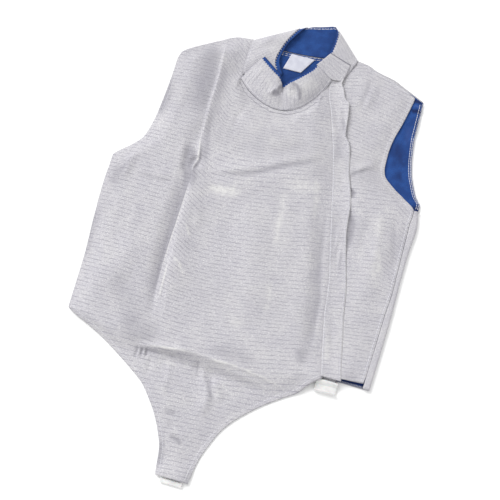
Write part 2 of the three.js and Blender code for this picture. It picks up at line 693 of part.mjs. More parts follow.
function collarLayers(suffix, stations, stepsAround, stepsUp) {
  const inner = collarGrid(stations, stepsAround, stepsUp, 1);
  const base = collarGrid(stations, stepsAround, stepsUp, BLUE_EDGE);
  const normals = gridNormals(base);
  const outer = base.map((row, r) => row.map((point, c) => offset(point, normals[r][c], COLLAR_OFFSET)));
  return [
    shell(`collar_${suffix}_lining`, inner, LINING, 'lining'),
    shell(`collar_${suffix}`, outer, CLOTH, 'lame'),
  ];
}

function makeTab() {
  const steps = 6;
  const columns = 9;
  const table = (pick, axis) => TAB.map((s, i) => ({ at: i, value: s[pick][axis] }));
  const middle = Array.from({ length: steps + 1 }, (_, row) => {
    const up = row / steps;
    return Array.from({ length: columns + 1 }, (__, column) => {
      const at = (column / columns) * (TAB.length - 1);
      return [0, 1, 2].map((axis) => mix(
        read(table('lower', axis), at, 'at', 'value'), read(table('upper', axis), at, 'at', 'value'), up,
      ));
    });
  });
  return shell('collar_tab', middle, CLOTH, 'lame');
}

// Label on the lining just below the back of the collar.
function makeLabel() {
  const plan = LABEL.map(({ y, left, right }) => (
    Array.from({ length: 5 }, (_, i) => [mix(left, right, i / 4), y])
  ));
  return layer('neck_label', plan, () => LINING_Z + LINING + GAP, LINING, 'label');
}

// Boolean union of closed geometries
const manifold = await Module();
manifold.setup();

function solid(geometry) {
  const bare = geometry.clone();
  bare.deleteAttribute('normal');
  bare.deleteAttribute('uv');
  const merged = mergeVertices(bare, 1e-4);
  return new manifold.Manifold(new manifold.Mesh({
    numProp: 3,
    vertProperties: new Float32Array(merged.attributes.position.array),
    triVerts: new Uint32Array(merged.index.array),
  }));
}

function united(geometries) {
  const [first, ...others] = geometries.map(solid);
  const mesh = others.reduce((sum, next) => sum.add(next), first).getMesh();
  const geometry = new THREE.BufferGeometry();
  geometry.setAttribute('position', new THREE.BufferAttribute(new Float32Array(mesh.vertProperties), 3));
  geometry.setIndex(new THREE.BufferAttribute(new Uint32Array(mesh.triVerts), 1));
  return geometry;
}

// Outline in (y, z) pushed along X, centred on x.
function extrudeAlongX(outline, x, width, holes = []) {
  const shape = new THREE.Shape(outline.map(([y, z]) => new THREE.Vector2(y, z)));
  for (const hole of holes) shape.holes.push(new THREE.Path(hole.map(([y, z]) => new THREE.Vector2(y, z))));
  const geometry = new THREE.ExtrudeGeometry(shape, { depth: width, bevelEnabled: false });
  const toFrame = new THREE.Matrix4().set(0, 0, 1, x - width / 2, 1, 0, 0, 0, 0, 1, 0, 0, 0, 0, 0, 1);
  return geometry.applyMatrix4(toFrame);
}

function circle(y, z, radius, sides) {
  return Array.from({ length: sides }, (_, i) => {
    const angle = (2 * Math.PI * i) / sides;
    return [y + radius * Math.cos(angle), z + radius * Math.sin(angle)];
  });
}

// Webbing that goes round the bar of a fitting, with both ends sewn together into one tail.
function makeWebbing(name, { x, axisY, axisZ, bar }, { width, endY, endZ }) {
  const inner = bar + GAP;
  const outer = inner + WEBBING;
  const ring = extrudeAlongX(circle(axisY, axisZ, outer, 20), x, width, [circle(axisY, axisZ, inner, 20)]);
  const startY = axisY + inner + WEBBING / 2;
  const levelY = startY + 2;
  const tail = extrudeAlongX([
    [startY, axisZ - WEBBING], [levelY, endZ], [endY, endZ],
    [endY, endZ + 2 * WEBBING], [levelY, endZ + 2 * WEBBING], [startY, axisZ + WEBBING],
  ], x, width);
  return piece(name, united([ring, tail]), 'webbing');
}

function makeRod({ x, width, axisY, axisZ, bar }) {
  return extrudeAlongX(circle(axisY, axisZ, bar, 16), x, width - 1);
}

// Plastic hook: a bar, two arms, and a plate that curls up into a lip.
function makeHook() {
  const { x, width, axisY, axisZ, bar, arm, plate, plateY, plateZ, lipY, curl, curlTurn } = HOOK;
  const steps = 8;
  const centre = [lipY + curl - 1, curl + plate / 2 + 0.2];
  const arc = (radius) => Array.from({ length: steps + 1 }, (_, step) => {
    const angle = -Math.PI / 2 - (Math.PI * curlTurn * step) / steps;
    return [centre[0] + Math.cos(angle) * radius, centre[1] + Math.sin(angle) * radius];
  });
  const lip = extrudeAlongX([
    [plateY, plateZ], ...arc(curl + plate / 2),
    ...arc(curl - plate / 2).reverse(), [plateY, plateZ + plate],
  ], x, width);
  const armShape = [
    [axisY + bar, axisZ - bar], [axisY + bar, axisZ + bar],
    [plateY - 1, plateZ + plate], [plateY - 1, plateZ],
  ];
  const arms = [-1, 1].map((sign) => extrudeAlongX(armShape, x + (sign * (width - arm)) / 2, arm));
  return piece('strap_hook', united([lip, ...arms, makeRod(HOOK)]), 'plastic');
}

// Plastic ring: two side bars, a round inner bar and a broad outer bar.
function makeRing() {
  const { x, width, axisY, axisZ, bar, arm, thickness, outerY, endY, chamfer } = RING;
  const low = axisZ - thickness / 2;
  const high = axisZ + thickness / 2;
  const box = (fromY, toY, centreX, span) => extrudeAlongX([
    [fromY, low + chamfer], [fromY + chamfer, low], [toY, low],
    [toY, high], [fromY + chamfer, high], [fromY, high - chamfer],
  ], centreX, span);
  const outerBar = box(endY, outerY, x, width);
  const sides = [-1, 1].map((sign) => (
    box(outerY - 1, axisY + bar, x + (sign * (width - arm)) / 2, arm)
  ));
  return piece('tongue_ring', united([outerBar, ...sides, makeRod(RING)]), 'plastic');
}

const lame = new THREE.Group();
lame.add(makeBack(), makeBackLining(), makeFront(), makeZip(), makeSide(), makePlacket());
lame.add(...collarLayers('back', BACK_COLLAR, 3, 5), ...collarLayers('front', FRONT_COLLAR, 3, 7));
lame.add(makeTab(), makeLabel());
lame.add(makeWebbing('back_strap', HOOK, STRAP), makeHook());
lame.add(makeWebbing('tongue_loop', RING, LOOP), makeRing());

export default lame;
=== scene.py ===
import math

import bpy
import numpy as np
from mathutils import Matrix, Vector


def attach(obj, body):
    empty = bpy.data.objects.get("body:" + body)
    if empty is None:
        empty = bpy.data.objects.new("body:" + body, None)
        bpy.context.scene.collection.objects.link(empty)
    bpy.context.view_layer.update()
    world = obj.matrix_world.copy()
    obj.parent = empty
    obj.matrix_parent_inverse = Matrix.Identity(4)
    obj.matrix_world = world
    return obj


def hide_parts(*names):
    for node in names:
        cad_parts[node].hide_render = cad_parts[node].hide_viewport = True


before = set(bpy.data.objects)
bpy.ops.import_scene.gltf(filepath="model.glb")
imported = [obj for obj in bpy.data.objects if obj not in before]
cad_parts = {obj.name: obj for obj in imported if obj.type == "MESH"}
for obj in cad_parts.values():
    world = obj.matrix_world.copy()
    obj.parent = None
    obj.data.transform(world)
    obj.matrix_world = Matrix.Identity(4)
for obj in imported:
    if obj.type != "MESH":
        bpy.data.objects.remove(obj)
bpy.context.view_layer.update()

MM = 0.001
WALL = 1.4  # thickness of the frame's walls of conductive cloth
LINING_WALL = 1.0  # and of its lining
CLOTH = 0.8  # thickness of the cloth that shows
SHELL = 1.0  # and of the cloth of the back and the grey of the collar
COLLAR_LINING = 0.9
DOUBLED = 1.1  # thickness of the zip tape and the tab
RIBBON_WALL = 0.7
WEBBING = 1.0
GAP = 0.3
HEM_WIDTH = 6.5
HEM_STITCH = HEM_WIDTH - 0.8  # distance of the stitches from a hemmed edge
FOLD_RADIUS = 2.5
TONGUE_END_Y = -396
LEG_TOP_Y = -190
UNDERARM_Y = 114
NECK_SECTION = 266
NECK_Y = 338
NECK_LEFT_X = -91
NECK_RIGHT_X = 46
FRONT_BEND = 150  # above these the sections climb towards the shoulders
BACK_BEND = 100
SIDE_BEND = 178
LINING_Z = WALL + GAP
REST_Z = LINING_Z + LINING_WALL + 2 * GAP
TURNED_Z = 2 * FOLD_RADIUS
FRONT_TO_ZIP = 6.6
TONGUE_AIR, BODY_AIR, SIDE_AIR = 1.6, 5.2, 2.6  # height of the cloth's middle over what it lies on
EDGE_RISE = 34  # width over which it gets there from an edge
SEAM_RISE = (-4, 40)  # and where it does beside the zip
COLLAR_OFFSET = WALL / 2 + LINING_WALL / 2 + GAP
BLUE_EDGE = 0.87  # the grey of the collar stops here, and the blue goes on
FLOOR_CLEARANCE = 0.6

HOOK = {
    "x": 179, "width": 34, "axis_y": -191, "axis_z": 4, "bar": 1.6, "arm": 3.4, "plate": 2.2,
    "plate_y": -196.4, "plate_z": 2.4, "lip_y": -207.6, "curl": 3.6, "turn": 0.86,
}
RING = {
    "x": -7, "width": 34, "axis_y": -393.2, "axis_z": 2.3, "bar": 1, "arm": 3.2,
    "thickness": 2.4, "outer_y": -397.2, "end_y": -404.4,
}
STRAP = {"width": 24, "end_y": -168, "end_z": LINING_Z + LINING_WALL + GAP}
LOOP = {"width": 25, "end_y": -379, "end_z": 0}
# Where the cloth is lifted by the hook and by the ring
OVER_HOOK = {"x": HOOK["x"], "height": 4.6, "reach": 46, "level": 14, "start_y": -150, "end_y": -180}
OVER_RING = {"x": RING["x"], "height": 5, "reach": 32, "level": 14, "start_y": -366, "end_y": -388}


def table(text):
    """Columns of numbers by name; the first one is the place that the others are read at."""
    names, *rows = [line.split() for line in text.strip().splitlines()]
    return dict(zip(names, np.array(rows, float).T))


def strokes(text):
    """Soft ridges and troughs, each a height, a width left and right of its path, and the path."""
    rows = []
    for line in text.strip().splitlines():
        if not line.startswith("#"):
            height, left, right, *path = line.split()
            points = [tuple(map(float, point.split(","))) for point in path]
            rows.append((float(height), float(left), float(right), points))
    return rows


# Sections of the pieces, from edge to edge, and curves that their tops follow
FRONT = table("""
y left crease neck_left neck_right right
-396 -33 -21 -11 3 18
-380 -35.5 -24 -13 3 19.5
-357 -39 -26 -14 5 23.5
-335 -48 -31 -17 8 31
-310 -62 -40 -22 12 42
-290 -77 -50 -27 16 56
-270 -95 -61 -32 24 75
-254 -118 -75 -38 33 93
-236 -147 -88 -43 43 117
-219 -177 -97 -47 52 141
-205 -207 -101 -50 60 152
-196 -229 -102 -52 64 161
-188 -241 -101 -53 68 170
-165 -242 -98 -56 72 166
-100 -244.5 -112 -62 78 152
-40 -250 -119 -68 80 145
36 -254.5 -122 -75 76 126
73 -254.5 -122 -78 72 118
84 -246 -122 -79 70 115.5
100 -229 -122 -80 67 112
119 -215 -122 -82 63 108
143 -209 -122 -84 59 102
170 -206 -122 -85 54 96.5
237 -203.5 -124 -87.4 44 76
274 -204 -127 -87.4 46 62.5
299 -204 -129 -88 56.3 59.6
338 -204 -128 -89 56 59
""")
NECKLINE = table("""
x y
-87.5 266
-72.6 247
-55 236
-38 229
-20.5 225.5
-6.5 226.5
6.5 231
20 239.5
36 257.5
46 274
""")
SHOULDER = table("""
x y
-204 271
-201.5 282
-189 293
-164 309
-140 323
-127 331
-113 336
-91 338
""")
SIDE = table("""
y left right
-179 176.5 232
-165 172.6 233.8
-113 161.5 236.3
-67 153.5 238.5
-25 147 241.5
36 132.6 241.5
88 121 241.5
105 117.6 243
114 115.6 242.5
130 112 223
141 109 205.6
161 104.6 184
175 101.6 180.8
196 95 180.4
218 88.5 182.6
251 78.6 190.5
287 68.5 197.5
306 75.5 200
335 86.5 200
348 90 200
""")
SIDE_SHOULDER = table("""
x y
88 348
106 346
130 337
160 328
188 314.5
201 307
""")
BACK = table("""
y left right
-187 -239.5 245
-123 -241.5 248
-70 -245 250
-16 -249 250.5
39 -252.5 252
73 -252.5 255
84 -244 255.5
100 -227 254
114 -216 251
123 -211.5 251.5
140 -208 241
155 -205.5 234
176 -203.7 226
207 -202 220
247 -201.5 216.5
281 -202 216.5
306 -202 216
""")
BACK_TOP = table("""
x y
-202 269
-188 291
-163 307
-139 321
-112 333.5
-88 335.2
-41 332.5
-1 333.8
45 339.2
66 342.8
85 347
93 348.5
106 348
130 339
160 332
179 323
201 313
216 306
""")
SIDE_SEAM = table("""
y x
-187 233.5
-113 237
-67 239.2
-25 242.2
88 242.2
105 243.8
114 243.8
""")
PLACKET = table("""
y left right
-186 167 199
-165 162.5 194.5
-127 154.5 187
-88 147 178.5
-43 141.5 171
18 128 155
55 120 147
95 111 143
121 105.5 136
145 99.5 128
184 89.5 119
197 85.5 114
210 81.5 105
249 69 100
267 61.5 96
272 59.8 89
290 57 81
299 56.5 76
307 57.5 77
""")
PLACKET_LIFT = table("""
y lift
-186 0
-150 0
-100 0.2
-60 0
-20 0.2
20 1.4
60 2.2
84 1.8
100 0.5
120 1.6
140 1.2
150 0.4
170 0.8
190 3
210 4.4
240 4.6
266 4
300 3
""")
LABEL = table("""
y left right
301 -27 4
316 -23.5 12.5
331 -20 21
""")
# Stations of the collar and the tab, from the base to the top, which may bulge by a lift
BACK_COLLAR = table("""
x y z top_x top_y top_z lift
69.5 302 5.4 33 327 6.4 0.6
73.4 306 5.4 40.5 346 7.4 1
80 320.5 5.4 43.5 366 8.6 1.6
85 336 5.4 43.5 383.5 9 1.6
88 345.5 5.2 42 393 7.8 0.6
86.5 350.4 3.8 39 399.4 5 0
80 349.2 2.6 34.5 400.6 2.6 0
45 340.6 2.4 28 398.4 2.4 0
-1.3 335 2.4 14.5 394 2.4 0
-41.4 333.9 2.4 1 390 2.4 0
-80 336.9 2.6 -4.5 387 2.6 0
-86.4 337.6 3.8 -8.5 385 5 0
-88.4 333 5.2 -12 379 8 0.8
-88.6 316 5.4 -22.5 361 9.6 1.8
-89 292 5.4 -30.6 344 9 1.6
-88.6 278 5.4 -36 312 7.4 0.6
-86 271.5 5.4 -24 288 6 0
""")
FRONT_COLLAR = table("""
x y z top_x top_y top_z lift
-88.6 264.5 5.4 -61 307.6 15 3.2
-70.5 248 5.4 -48 298 16 4
-53.5 237.5 5.4 -36.5 289.5 16 4.4
-37.5 230.6 5.4 -27 283 15.4 4.4
-20.5 227.1 5.4 -23 276 12.6 2.8
-7 228.1 5.4 -19.4 268 10.4 0.6
5.8 232.6 5.4 -9 277 13.2 2.4
18.9 240.9 5.4 2.4 287.5 15.4 4.2
34.6 258.5 5.4 14 299.5 16 4
46 277.5 5.8 21.5 307.6 16 3.2
55.8 300.6 7.2 26 316.4 15.4 1.6
""")
TAB = table("""
at x y z top_x top_y top_z
0 57 300.4 9 26.7 316.2 16.9
1 74.4 302.6 8.4 33.5 327.5 15.4
2 79.4 318.5 8.4 38.8 336.5 14
3 81.6 335 8.6 44 345.4 12.8
""")
# How steeply the woven lines rise across the cloth
RISE = table("""
x slope
-260 0
-130 0
-118 -0.05
-100 -0.07
-55 0.05
-18 0.14
19 0.17
93 0.22
130 0.2
160 0.19
200 0.18
240 0.12
260 0.1
""")
# Strips in which the lines are turned: how much, from where, how wide, and between which heights
TURNED_STRIPS = table("""
turn start width low full high_full high
0.45 -119 32 -150 -60 70 150
0.75 -122 30 120 190 800 900
0.38 112 999 90 230 800 900
0.7 217 999 -60 30 110 180
""")
# Large folds, the same as the frame's
FOLDS = strokes("""
# ridge above the armpit
3.5 16 44  -128,318 -128,262 -122,200 -121,135
# valley beside the long crease
-4.5 14 9  -134,120 -133,50 -134,-30 -127,-95 -113,-160
# step of the long crease
4.5 30 8  -112,120 -113,50 -111,-30 -104,-100 -90,-165
# pocket in the crease
-3.5 9 9  -122,106 -112,84
# crest across the tongue
5 13 9  -112,-212 -60,-209 -26,-206 15,-209 60,-218 104,-222
# hollow below the crest
-2.5 10 12  -96,-226 -55,-229 -10,-232 30,-229
# fold over the chest
3.5 20 34  -92,84 -60,94 -10,108 40,130 78,150
# valley beside the placket
-3 12 10  103,104 100,70 112,0 126,-69 134,-120 136,-165
# fold below the neck
2.2 14 14  -76,196 -40,176 0,172 40,184
# fold from the hip
2.5 22 18  -206,-150 -180,-100 -172,-40
# fold down the belly
2.5 24 24  -20,60 10,0 28,-80 34,-150
# fold into the tongue
3 9 11  5,-232 10,-262 6,-300
# fold from the armpit
2 7 9  -222,86 -226,60 -224,36
# side fold at the armhole
2 9 12  132,146 150,162 170,178
# side fold at the shoulder
2.2 11 14  120,322 119,290 121,262
# side fold at the hip
2.4 16 14  205,60 198,0 204,-70
""")
# Small creases that only show on the cloth
CREASES = strokes("""
# ridge above the armpit, sharp on top
1.7 5 2.4  -131,318 -128.5,290 -125,248 -125,204 -123,163 -120,128
-1 2 8  -131,286 -129,246 -129,199 -127,157 -127,122
0.8 16 8  -108,300 -104,262 -98,214 -98,170
# bend of the ridge round the pocket
2.8 3 3  -123,136 -118,112 -116.5,103 -121,87 -119,66
-1.3 5 6  -140,130 -135,112 -136,88 -130,74
0.8 5 5  -148,128 -146,100 -139,72
# long crease down to the tongue, gradual on its left and sudden on its right
3 9 9  -135,96 -134,50 -135,-30 -129,-95 -116,-160
-3.6 2.2 14  -121,92 -121,45 -121,14 -122,-36 -122,-70 -117,-130 -108,-176
1 4 2  -118,80 -118,14 -118,-60 -110,-120 -104,-150
1 2.5 2  -112,-66 -110,-98 -109,-125 -106,-140
-0.6 5 5  -100,30 -96,-10 -84,-34
0.7 3 4  -106,-6 -96,-20 -85,-36
0.7 4 5  -106,-68 -88,-80 -66,-90
# crest of the tongue and the hollows on both sides of it
2.6 6 3.2  -122,-217 -100,-214 -75,-211 -48,-207.5 -24,-205
1.8 7 3.4  -34,-206 5,-208.5 30,-208.5 56,-209.5 88,-214 121,-220
-1.5 2.6 5  -122,-222 -99,-221 -69,-218 -32,-216
1.3 4 8  -20,-216 20,-218 60,-221 110,-228
# puckers at its left end
-1.2 2 2  -117,-238 -117,-216
1 2 2  -112.5,-216 -113,-236
-1.2 2 2  -108,-234 -110,-217
1 2 2  -105.5,-216 -104.5,-234
-1.2 2 2  -100,-231 -103,-217
-1 4 4  -92,-226 -90,-262
# folds that run down from the crest
-1.8 3.4 5  -20,-212 -19,-227 -16,-247
1.4 5 4  -8,-214 -7,-232 -4,-252
-2.2 5 3.2  2,-228 7,-249 20,-270
1.8 9 4  14,-232 20,-250 30,-268
0.9 5 5  -62,-224 -58,-250 -60,-284
-0.8 4 5  -50,-301 -28,-300
-1.1 4 4  -31,-334 -18,-338 -4,-346
0.9 5 4  -34,-326 -20,-329 -2,-333
# fold over the chest
-1.1 4 9  -104,78 -70,87 -40,96 -17,106 22,129 57,146 96,166
1 7 5  -86,93 -40,106 0,126 40,148 80,166
-0.9 5 8  -88,226 -40,198 10,196
0.8 8 8  -70,150 -10,158 50,184
# long shallow folds of the belly
0.5 9 12  38,90 50,50 60,8
0.5 8 9  40,-44 48,-80 53,-112
-0.4 10 8  -38,40 -34,-20 -24,-90
-0.4 9 9  72,30 84,-50 88,-130
# valley beside the placket
-1.3 4 8  106,96 112,40 122,-20 134,-71 138,-120 139,-182
# below the collar
-1 3 3  34,234 32,214
0.9 4 4  24,232 20,208
-0.8 4 4  -64,224 -74,196 -78,160
# left side and armpit
-1.4 3 5  -223,92 -230,68 -233,40
1.1 4 4  -216,92 -222,64 -224,38
-1 3 4  -206,51 -183,51 -164,51 -140,56
0.8 5 4  -204,58 -176,59 -146,63
0.5 8 8  -190,20 -186,-40 -176,-110
-0.4 9 9  -166,240 -164,190 -168,130
-0.6 3 3  -204,268 -196,262 -188,262
# side panel
-1.6 4 6  124,138 139,151 156,161 170,164
0.9 6 6  134,156 152,168 170,172
-1.8 3 4  128,124 141,117 146,106
0.8 4 4  136,106 148,102 160,104
-1.6 4 6  138,96 150,72 154,46 156,10
-1.1 5 6  122,326 120,294 117,256
1 6 6  134,320 131,290 126,262
-0.5 7 7  182,96 176,60 176,20
0.9 7 7  190,98 198,72 200,30 207,-10
-0.8 6 8  212,104 223,64 230,29 235,-10
0.6 8 8  176,-80 183,-140
-0.5 5 5  188,300 194,288 192,270
""")
# Painted light and shade of the cloth: above zero it is lighter, below zero darker
# broad painted shade of the chest, the belly and the left edge, with some painted light on the chest
# painted highlights and shade on the crest of the tongue, its puckers and what runs down from it
# painted shade beside the long crease and its ridge, with a little painted light on the left
# painted shadow beside the placket, and a painted highlight
# painted sheen and shade on the side panel
# painted sheen on the chest and belly, and painted highlights and shade along its small creases
TONES = strokes("""
# pressed and shiny places of the chest and belly
0.9 9 10  -90,58 -72,60 -48,63 -30,70
0.5 10 9  30,98 65,104 92,116
0.6 6 6  32,96 38,50 42,13 48,-20
0.5 5 5  48,-50 58,-93 58,-122
0.5 8 8  4,-136 32,-146
0.3 14 14  -70,150 -30,190 10,212
1 1.6 1.6  -106,-4 -96,-20 -88,-32
0.9 2 2  -108,-66 -92,-78 -78,-96
-0.25 10 10  -100,-33 -70,-53
0.9 1.1 1.1  -118.5,84 -118.5,45 -118.5,14 -119,-36 -119,-86 -115,-130
-0.8 1 2.4  -120.5,84 -120.5,45 -120.5,14 -121,-36 -121,-86 -117,-130
0.6 1.6 1.6  -112,-66 -110,-98 -109,-125 -106,-140
1.1 1 1  -124,165 -123,136 -118,112 -116.5,103 -121,87 -118.5,70
-0.8 1.6 1  -121,136 -115.5,112 -113.5,100 -118,85 -116,66
-0.3 8 8  -93,-21 -80,-7 -85,38
-0.5 5 6  -100,84 -40,96 -17,106 22,129 57,146 90,166
# broad shades of the chest, the belly and the left edge
0.5 7 7  80,124 88,84 93,46
0.3 9 9  47,70 57,20 64,-26
-0.95 10 12  -134,124 -122,84 -112,44
-0.5 8 8  -254,-14 -247,-64 -240,-124
-0.6 8 8  -206,246 -201,196 -202,150
-0.6 6 6  -41,-338 -30,-392
-0.35 14 9  -14,-190 30,-188 78,-200
-0.5 9 9  124,-150 132,-180
# beside the long crease and its ridge
-0.5 1.5 13  -122,84 -121,47 -121,-12 -122,-70 -118,-129 -110,-170
-0.4 10 16  -136,176 -140,132 -136,96
-0.5 6 8  -119,196 -117,164 -112,142 -106,104 -102,70
-0.5 26 20  -160,-176 -124,-200 -80,-196
-0.35 10 10  -236,60 -238,20
-0.5 12 16  -149,316 -147,290 -144,224 -139,168
-0.35 44 60  -160,330 -156,240 -170,150
-0.3 24 20  -236,84 -240,20 -236,-60
-0.35 22 26  -190,-80 -170,-140 -120,-180
-0.25 16 4  -120,290 -118,252 -116,214 -112,166
-0.35 5 5  -137,96 -136,81 -129,73 -120,80
0.2 14 14  -213,37 -212,-20
0.2 14 14  -180,-90 -173,-120
-0.5 2.5 3  -222,80 -226,63 -233,46
-0.4 2.5 2.5  -204,51 -164,51 -140,56
# crest of the tongue, its puckers and what runs down from it
0.4 6 5  -96,-231 -61,-230 -29,-230
0.4 6 6  11,-245 25,-261
0.9 1.3 1.3  -112,-215 -100,-213.5 -75,-210.5 -48,-207 -24,-204.5
0.9 1.3 1.3  -24,-204.5 5,-208 30,-208 56,-209 88,-213.6 121,-219.6
-0.2 2.5 5  -120,-221 -100,-219.5 -75,-217 -48,-214 -30,-211
0.45 3 6  -24,-210 10,-212 50,-213.5 84,-219 116,-226
-0.5 1.6 1.6  40,-214.6 56,-216.5 88,-220 116,-224.5
-0.25 11 3  -110,-202 -40,-199 20,-200 60,-206
-0.5 1.8 1.8  -117,-238 -117,-218
-0.5 1.8 1.8  -108,-234 -111,-218
-0.5 1.8 1.8  -100,-231 -104,-217
-0.3 2 2  -60,-226 -63,-216
-0.3 2 2  -44,-226 -47,-216
-0.45 2 2  -19,-212 -19,-222 -17,-240
-0.5 2.4 2.4  4,-231 9,-249 14,-260 26,-268
-0.5 3 3  -48,-304 -28,-300
-0.3 5 5  -38,-308 -34,-328
-0.5 3 3  -31,-335 -17,-338 -5,-344
-0.15 60 60  -20,-250 -12,-380
# beside the placket
-0.45 4 12  106,92 114,33 123,-20 135,-71 139,-120 140,-192
0.4 3 3  139,-74 144,-115 147,-156
-0.6 4 4  138,124 143,117 141,106
-0.75 5 5  146,88 154,66 156,45 158,18
# side panel
0.5 10 10  200,56 211,6 213,-36
-0.3 8 8  231,108 239,61 242,30
-0.3 9 9  212,104 223,64 230,29 235,0
-0.5 3 3  129,142 139,153 158,163
0.4 9 9  188,94 197,75 196,48
0.35 8 8  208,14 205,-12
0.35 8 8  178,42 179,8
0.3 8 8  177,-98 183,-142
-0.25 5 8  122,326 119,294 116,250
""")
PLACKET_CREASES = strokes("""
-0.9 3 4  140,30 143,4 149,-25
0.7 4 3  134,60 138,20 150,-40
-0.7 3 3  84,262 92,238 104,214
0.8 4 4  66,262 84,214 100,168
-0.6 4 4  160,-80 168,-120 182,-160
0.6 4 4  152,-90 162,-130 172,-172
-0.6 4 4  112,150 122,120 134,92
""")
# Painted highlights and shade along the placket's creases
PLACKET_TONES = strokes("""
0.5 3 3  143,32 144,6 146,-18
-0.45 3 3  147,20 150,0 153,-20
-0.35 12 12  124,100 132,40 142,-30
-0.4 12 12  92,240 98,196 104,150
0.35 6 6  158,-96 166,-140 172,-172
-0.3 4 4  86,262 96,232 106,206
""")
LINING_CREASES = strokes("""
2.4 3 5  196,290 206,294 219,288
2 4 4  201,306 208,298 216,300
1.6 5 5  212,280 213,262 212,240
2 3 4  232,132 242,127 252,128
1.2 6 6  196,214 206,190 212,160
""")
# Painted shade and highlights of the lining's folds, and a darker line along its lower edge
LINING_TONES = strokes("""
-1.2 4 4  130,-183 180,-183 236,-183 262,-183
-1 3 4  192,300 202,304 216,303
-0.9 3 4  196,284 208,287 220,283
0.7 3 3  200,296 208,294 218,295
-0.8 4 8  236,122 246,119 256,124
-0.6 3 3  236,140 246,134 252,138
-0.35 5 8  186,236 196,205 206,184
0.45 7 7  202,262 206,236 206,214
0.4 8 8  216,190 222,166 230,148
-0.4 5 5  198,176 212,162 222,152
-0.25 20 20  190,236 204,196 224,150
""")
# Dents of the collar, and its painted shade and light, darker below zero and lighter above it
FRONT_DENTS = strokes("""
# fold below the dip of the front collar, round its hollow
2.2 3 4  -19,272 -25,257 -33,248 -30,243
-2.6 4 4  -15,268 -19,256 -22,248
2 4 4  -11,273 0,271 10,265 14,254
-1.8 4 4  -6,264 2,260 6,250
-0.8 4 4  24,298 34,284 44,276
0.7 4 4  -56,292 -64,272 -70,258
""")
BACK_DENTS = strokes("""
0.8 4 4  -40,352 -60,344 -80,330
-0.8 4 4  -36,340 -60,330 -82,318
""")
FRONT_SHADES = strokes("""
0.55 13 14  2,246 14,262 25,279 38,296
-1.2 5 5  -33,250 -26,248.6 -18,250
-1 3 3  -16,268 -21,262 -26,256
-1.5 2 3.4  -15,275 -3,273.5 6,269 12,262 15.7,251 13,244
0.6 5 5  -12,262 -4,256 -2,250
0.4 6 6  -46,270 -40,262 -34,252
""")
BACK_SHADES = strokes("""
-0.3 6 6  -40,366 -56,350 -66,326
0.3 8 8  -26,372 -44,340 -56,312
""")


def read(data, at, column):
    """Value of a column between its rows, on a smooth line with no overshoot."""
    key = next(iter(data.values()))
    values = data[column]
    step = np.diff(key)
    slope = np.diff(values) / step
    before, after = slope[:-1], slope[1:]
    same = before * after > 0
    total = np.where(same, before + after, 1)
    middle = np.where(same, 2 * before * after / total, 0)
    tangent = np.concatenate([slope[:1], middle, slope[-1:]])
    place = np.clip(at, key[0], key[-1])
    row = np.clip(np.searchsorted(key, place) - 1, 0, len(step) - 1)
    start, end = tangent[row] * step[row], tangent[row + 1] * step[row]
    return values[row] + bend(start, end, values[row + 1] - values[row], (place - key[row]) / step[row])


def bend(start, end, rise, t):
    """Cubic from 0 to rise with its slopes at the start and the end."""
    return start * t + (3 * rise - 2 * start - end) * t**2 + (start + end - 2 * rise) * t**3


def smooth(start, end, value):
    t = np.clip((value - start) / (end - start), 0, 1)
    return t * t * (3 - 2 * t)


def mix(a, b, t):
    return a + (b - a) * t


def beside(path, x, y):
    """Distance of points from a path, the side of it that they are on, and how far along it."""
    nearest = np.full(np.shape(x), 1e9)
    side = np.ones(np.shape(x))
    along = np.zeros(np.shape(x))
    spans = len(path) - 1
    for i in range(spans):
        (ax, ay), (bx, by) = path[i], path[i + 1]
        dx, dy = bx - ax, by - ay
        t = np.clip(((x - ax) * dx + (y - ay) * dy) / (dx * dx + dy * dy), 0, 1)
        distance = np.hypot(x - ax - t * dx, y - ay - t * dy)
        closer = distance < nearest
        nearest = np.where(closer, distance, nearest)
        side = np.where(closer, dx * (y - ay) - dy * (x - ax), side)
        along = np.where(closer, (i + t) / spans, along)
    return nearest, side, along


def folds_at(folds, x, y):
    """Height of soft ridges and troughs, which fade out towards the ends of their paths."""
    total = np.zeros(np.shape(x))
    for height, left, right, path in folds:
        nearest, side, along = beside(path, x, y)
        width = np.where(side > 0, left, right)
        fade = smooth(-0.05, 0.3, along) * smooth(-0.05, 0.3, 1 - along)
        total += height * fade * np.exp(-((nearest / width) ** 2))
    return total


def front_top(x):
    neck = np.where(x < NECK_RIGHT_X, read(NECKLINE, x, "y"), 301)
    return np.where(x < NECK_LEFT_X, read(SHOULDER, x, "y"), neck)


def lift_over(fitting, x, y):
    near = smooth(fitting["reach"], fitting["level"], np.abs(x - fitting["x"]))
    return fitting["height"] * near * smooth(fitting["start_y"], fitting["end_y"], y)


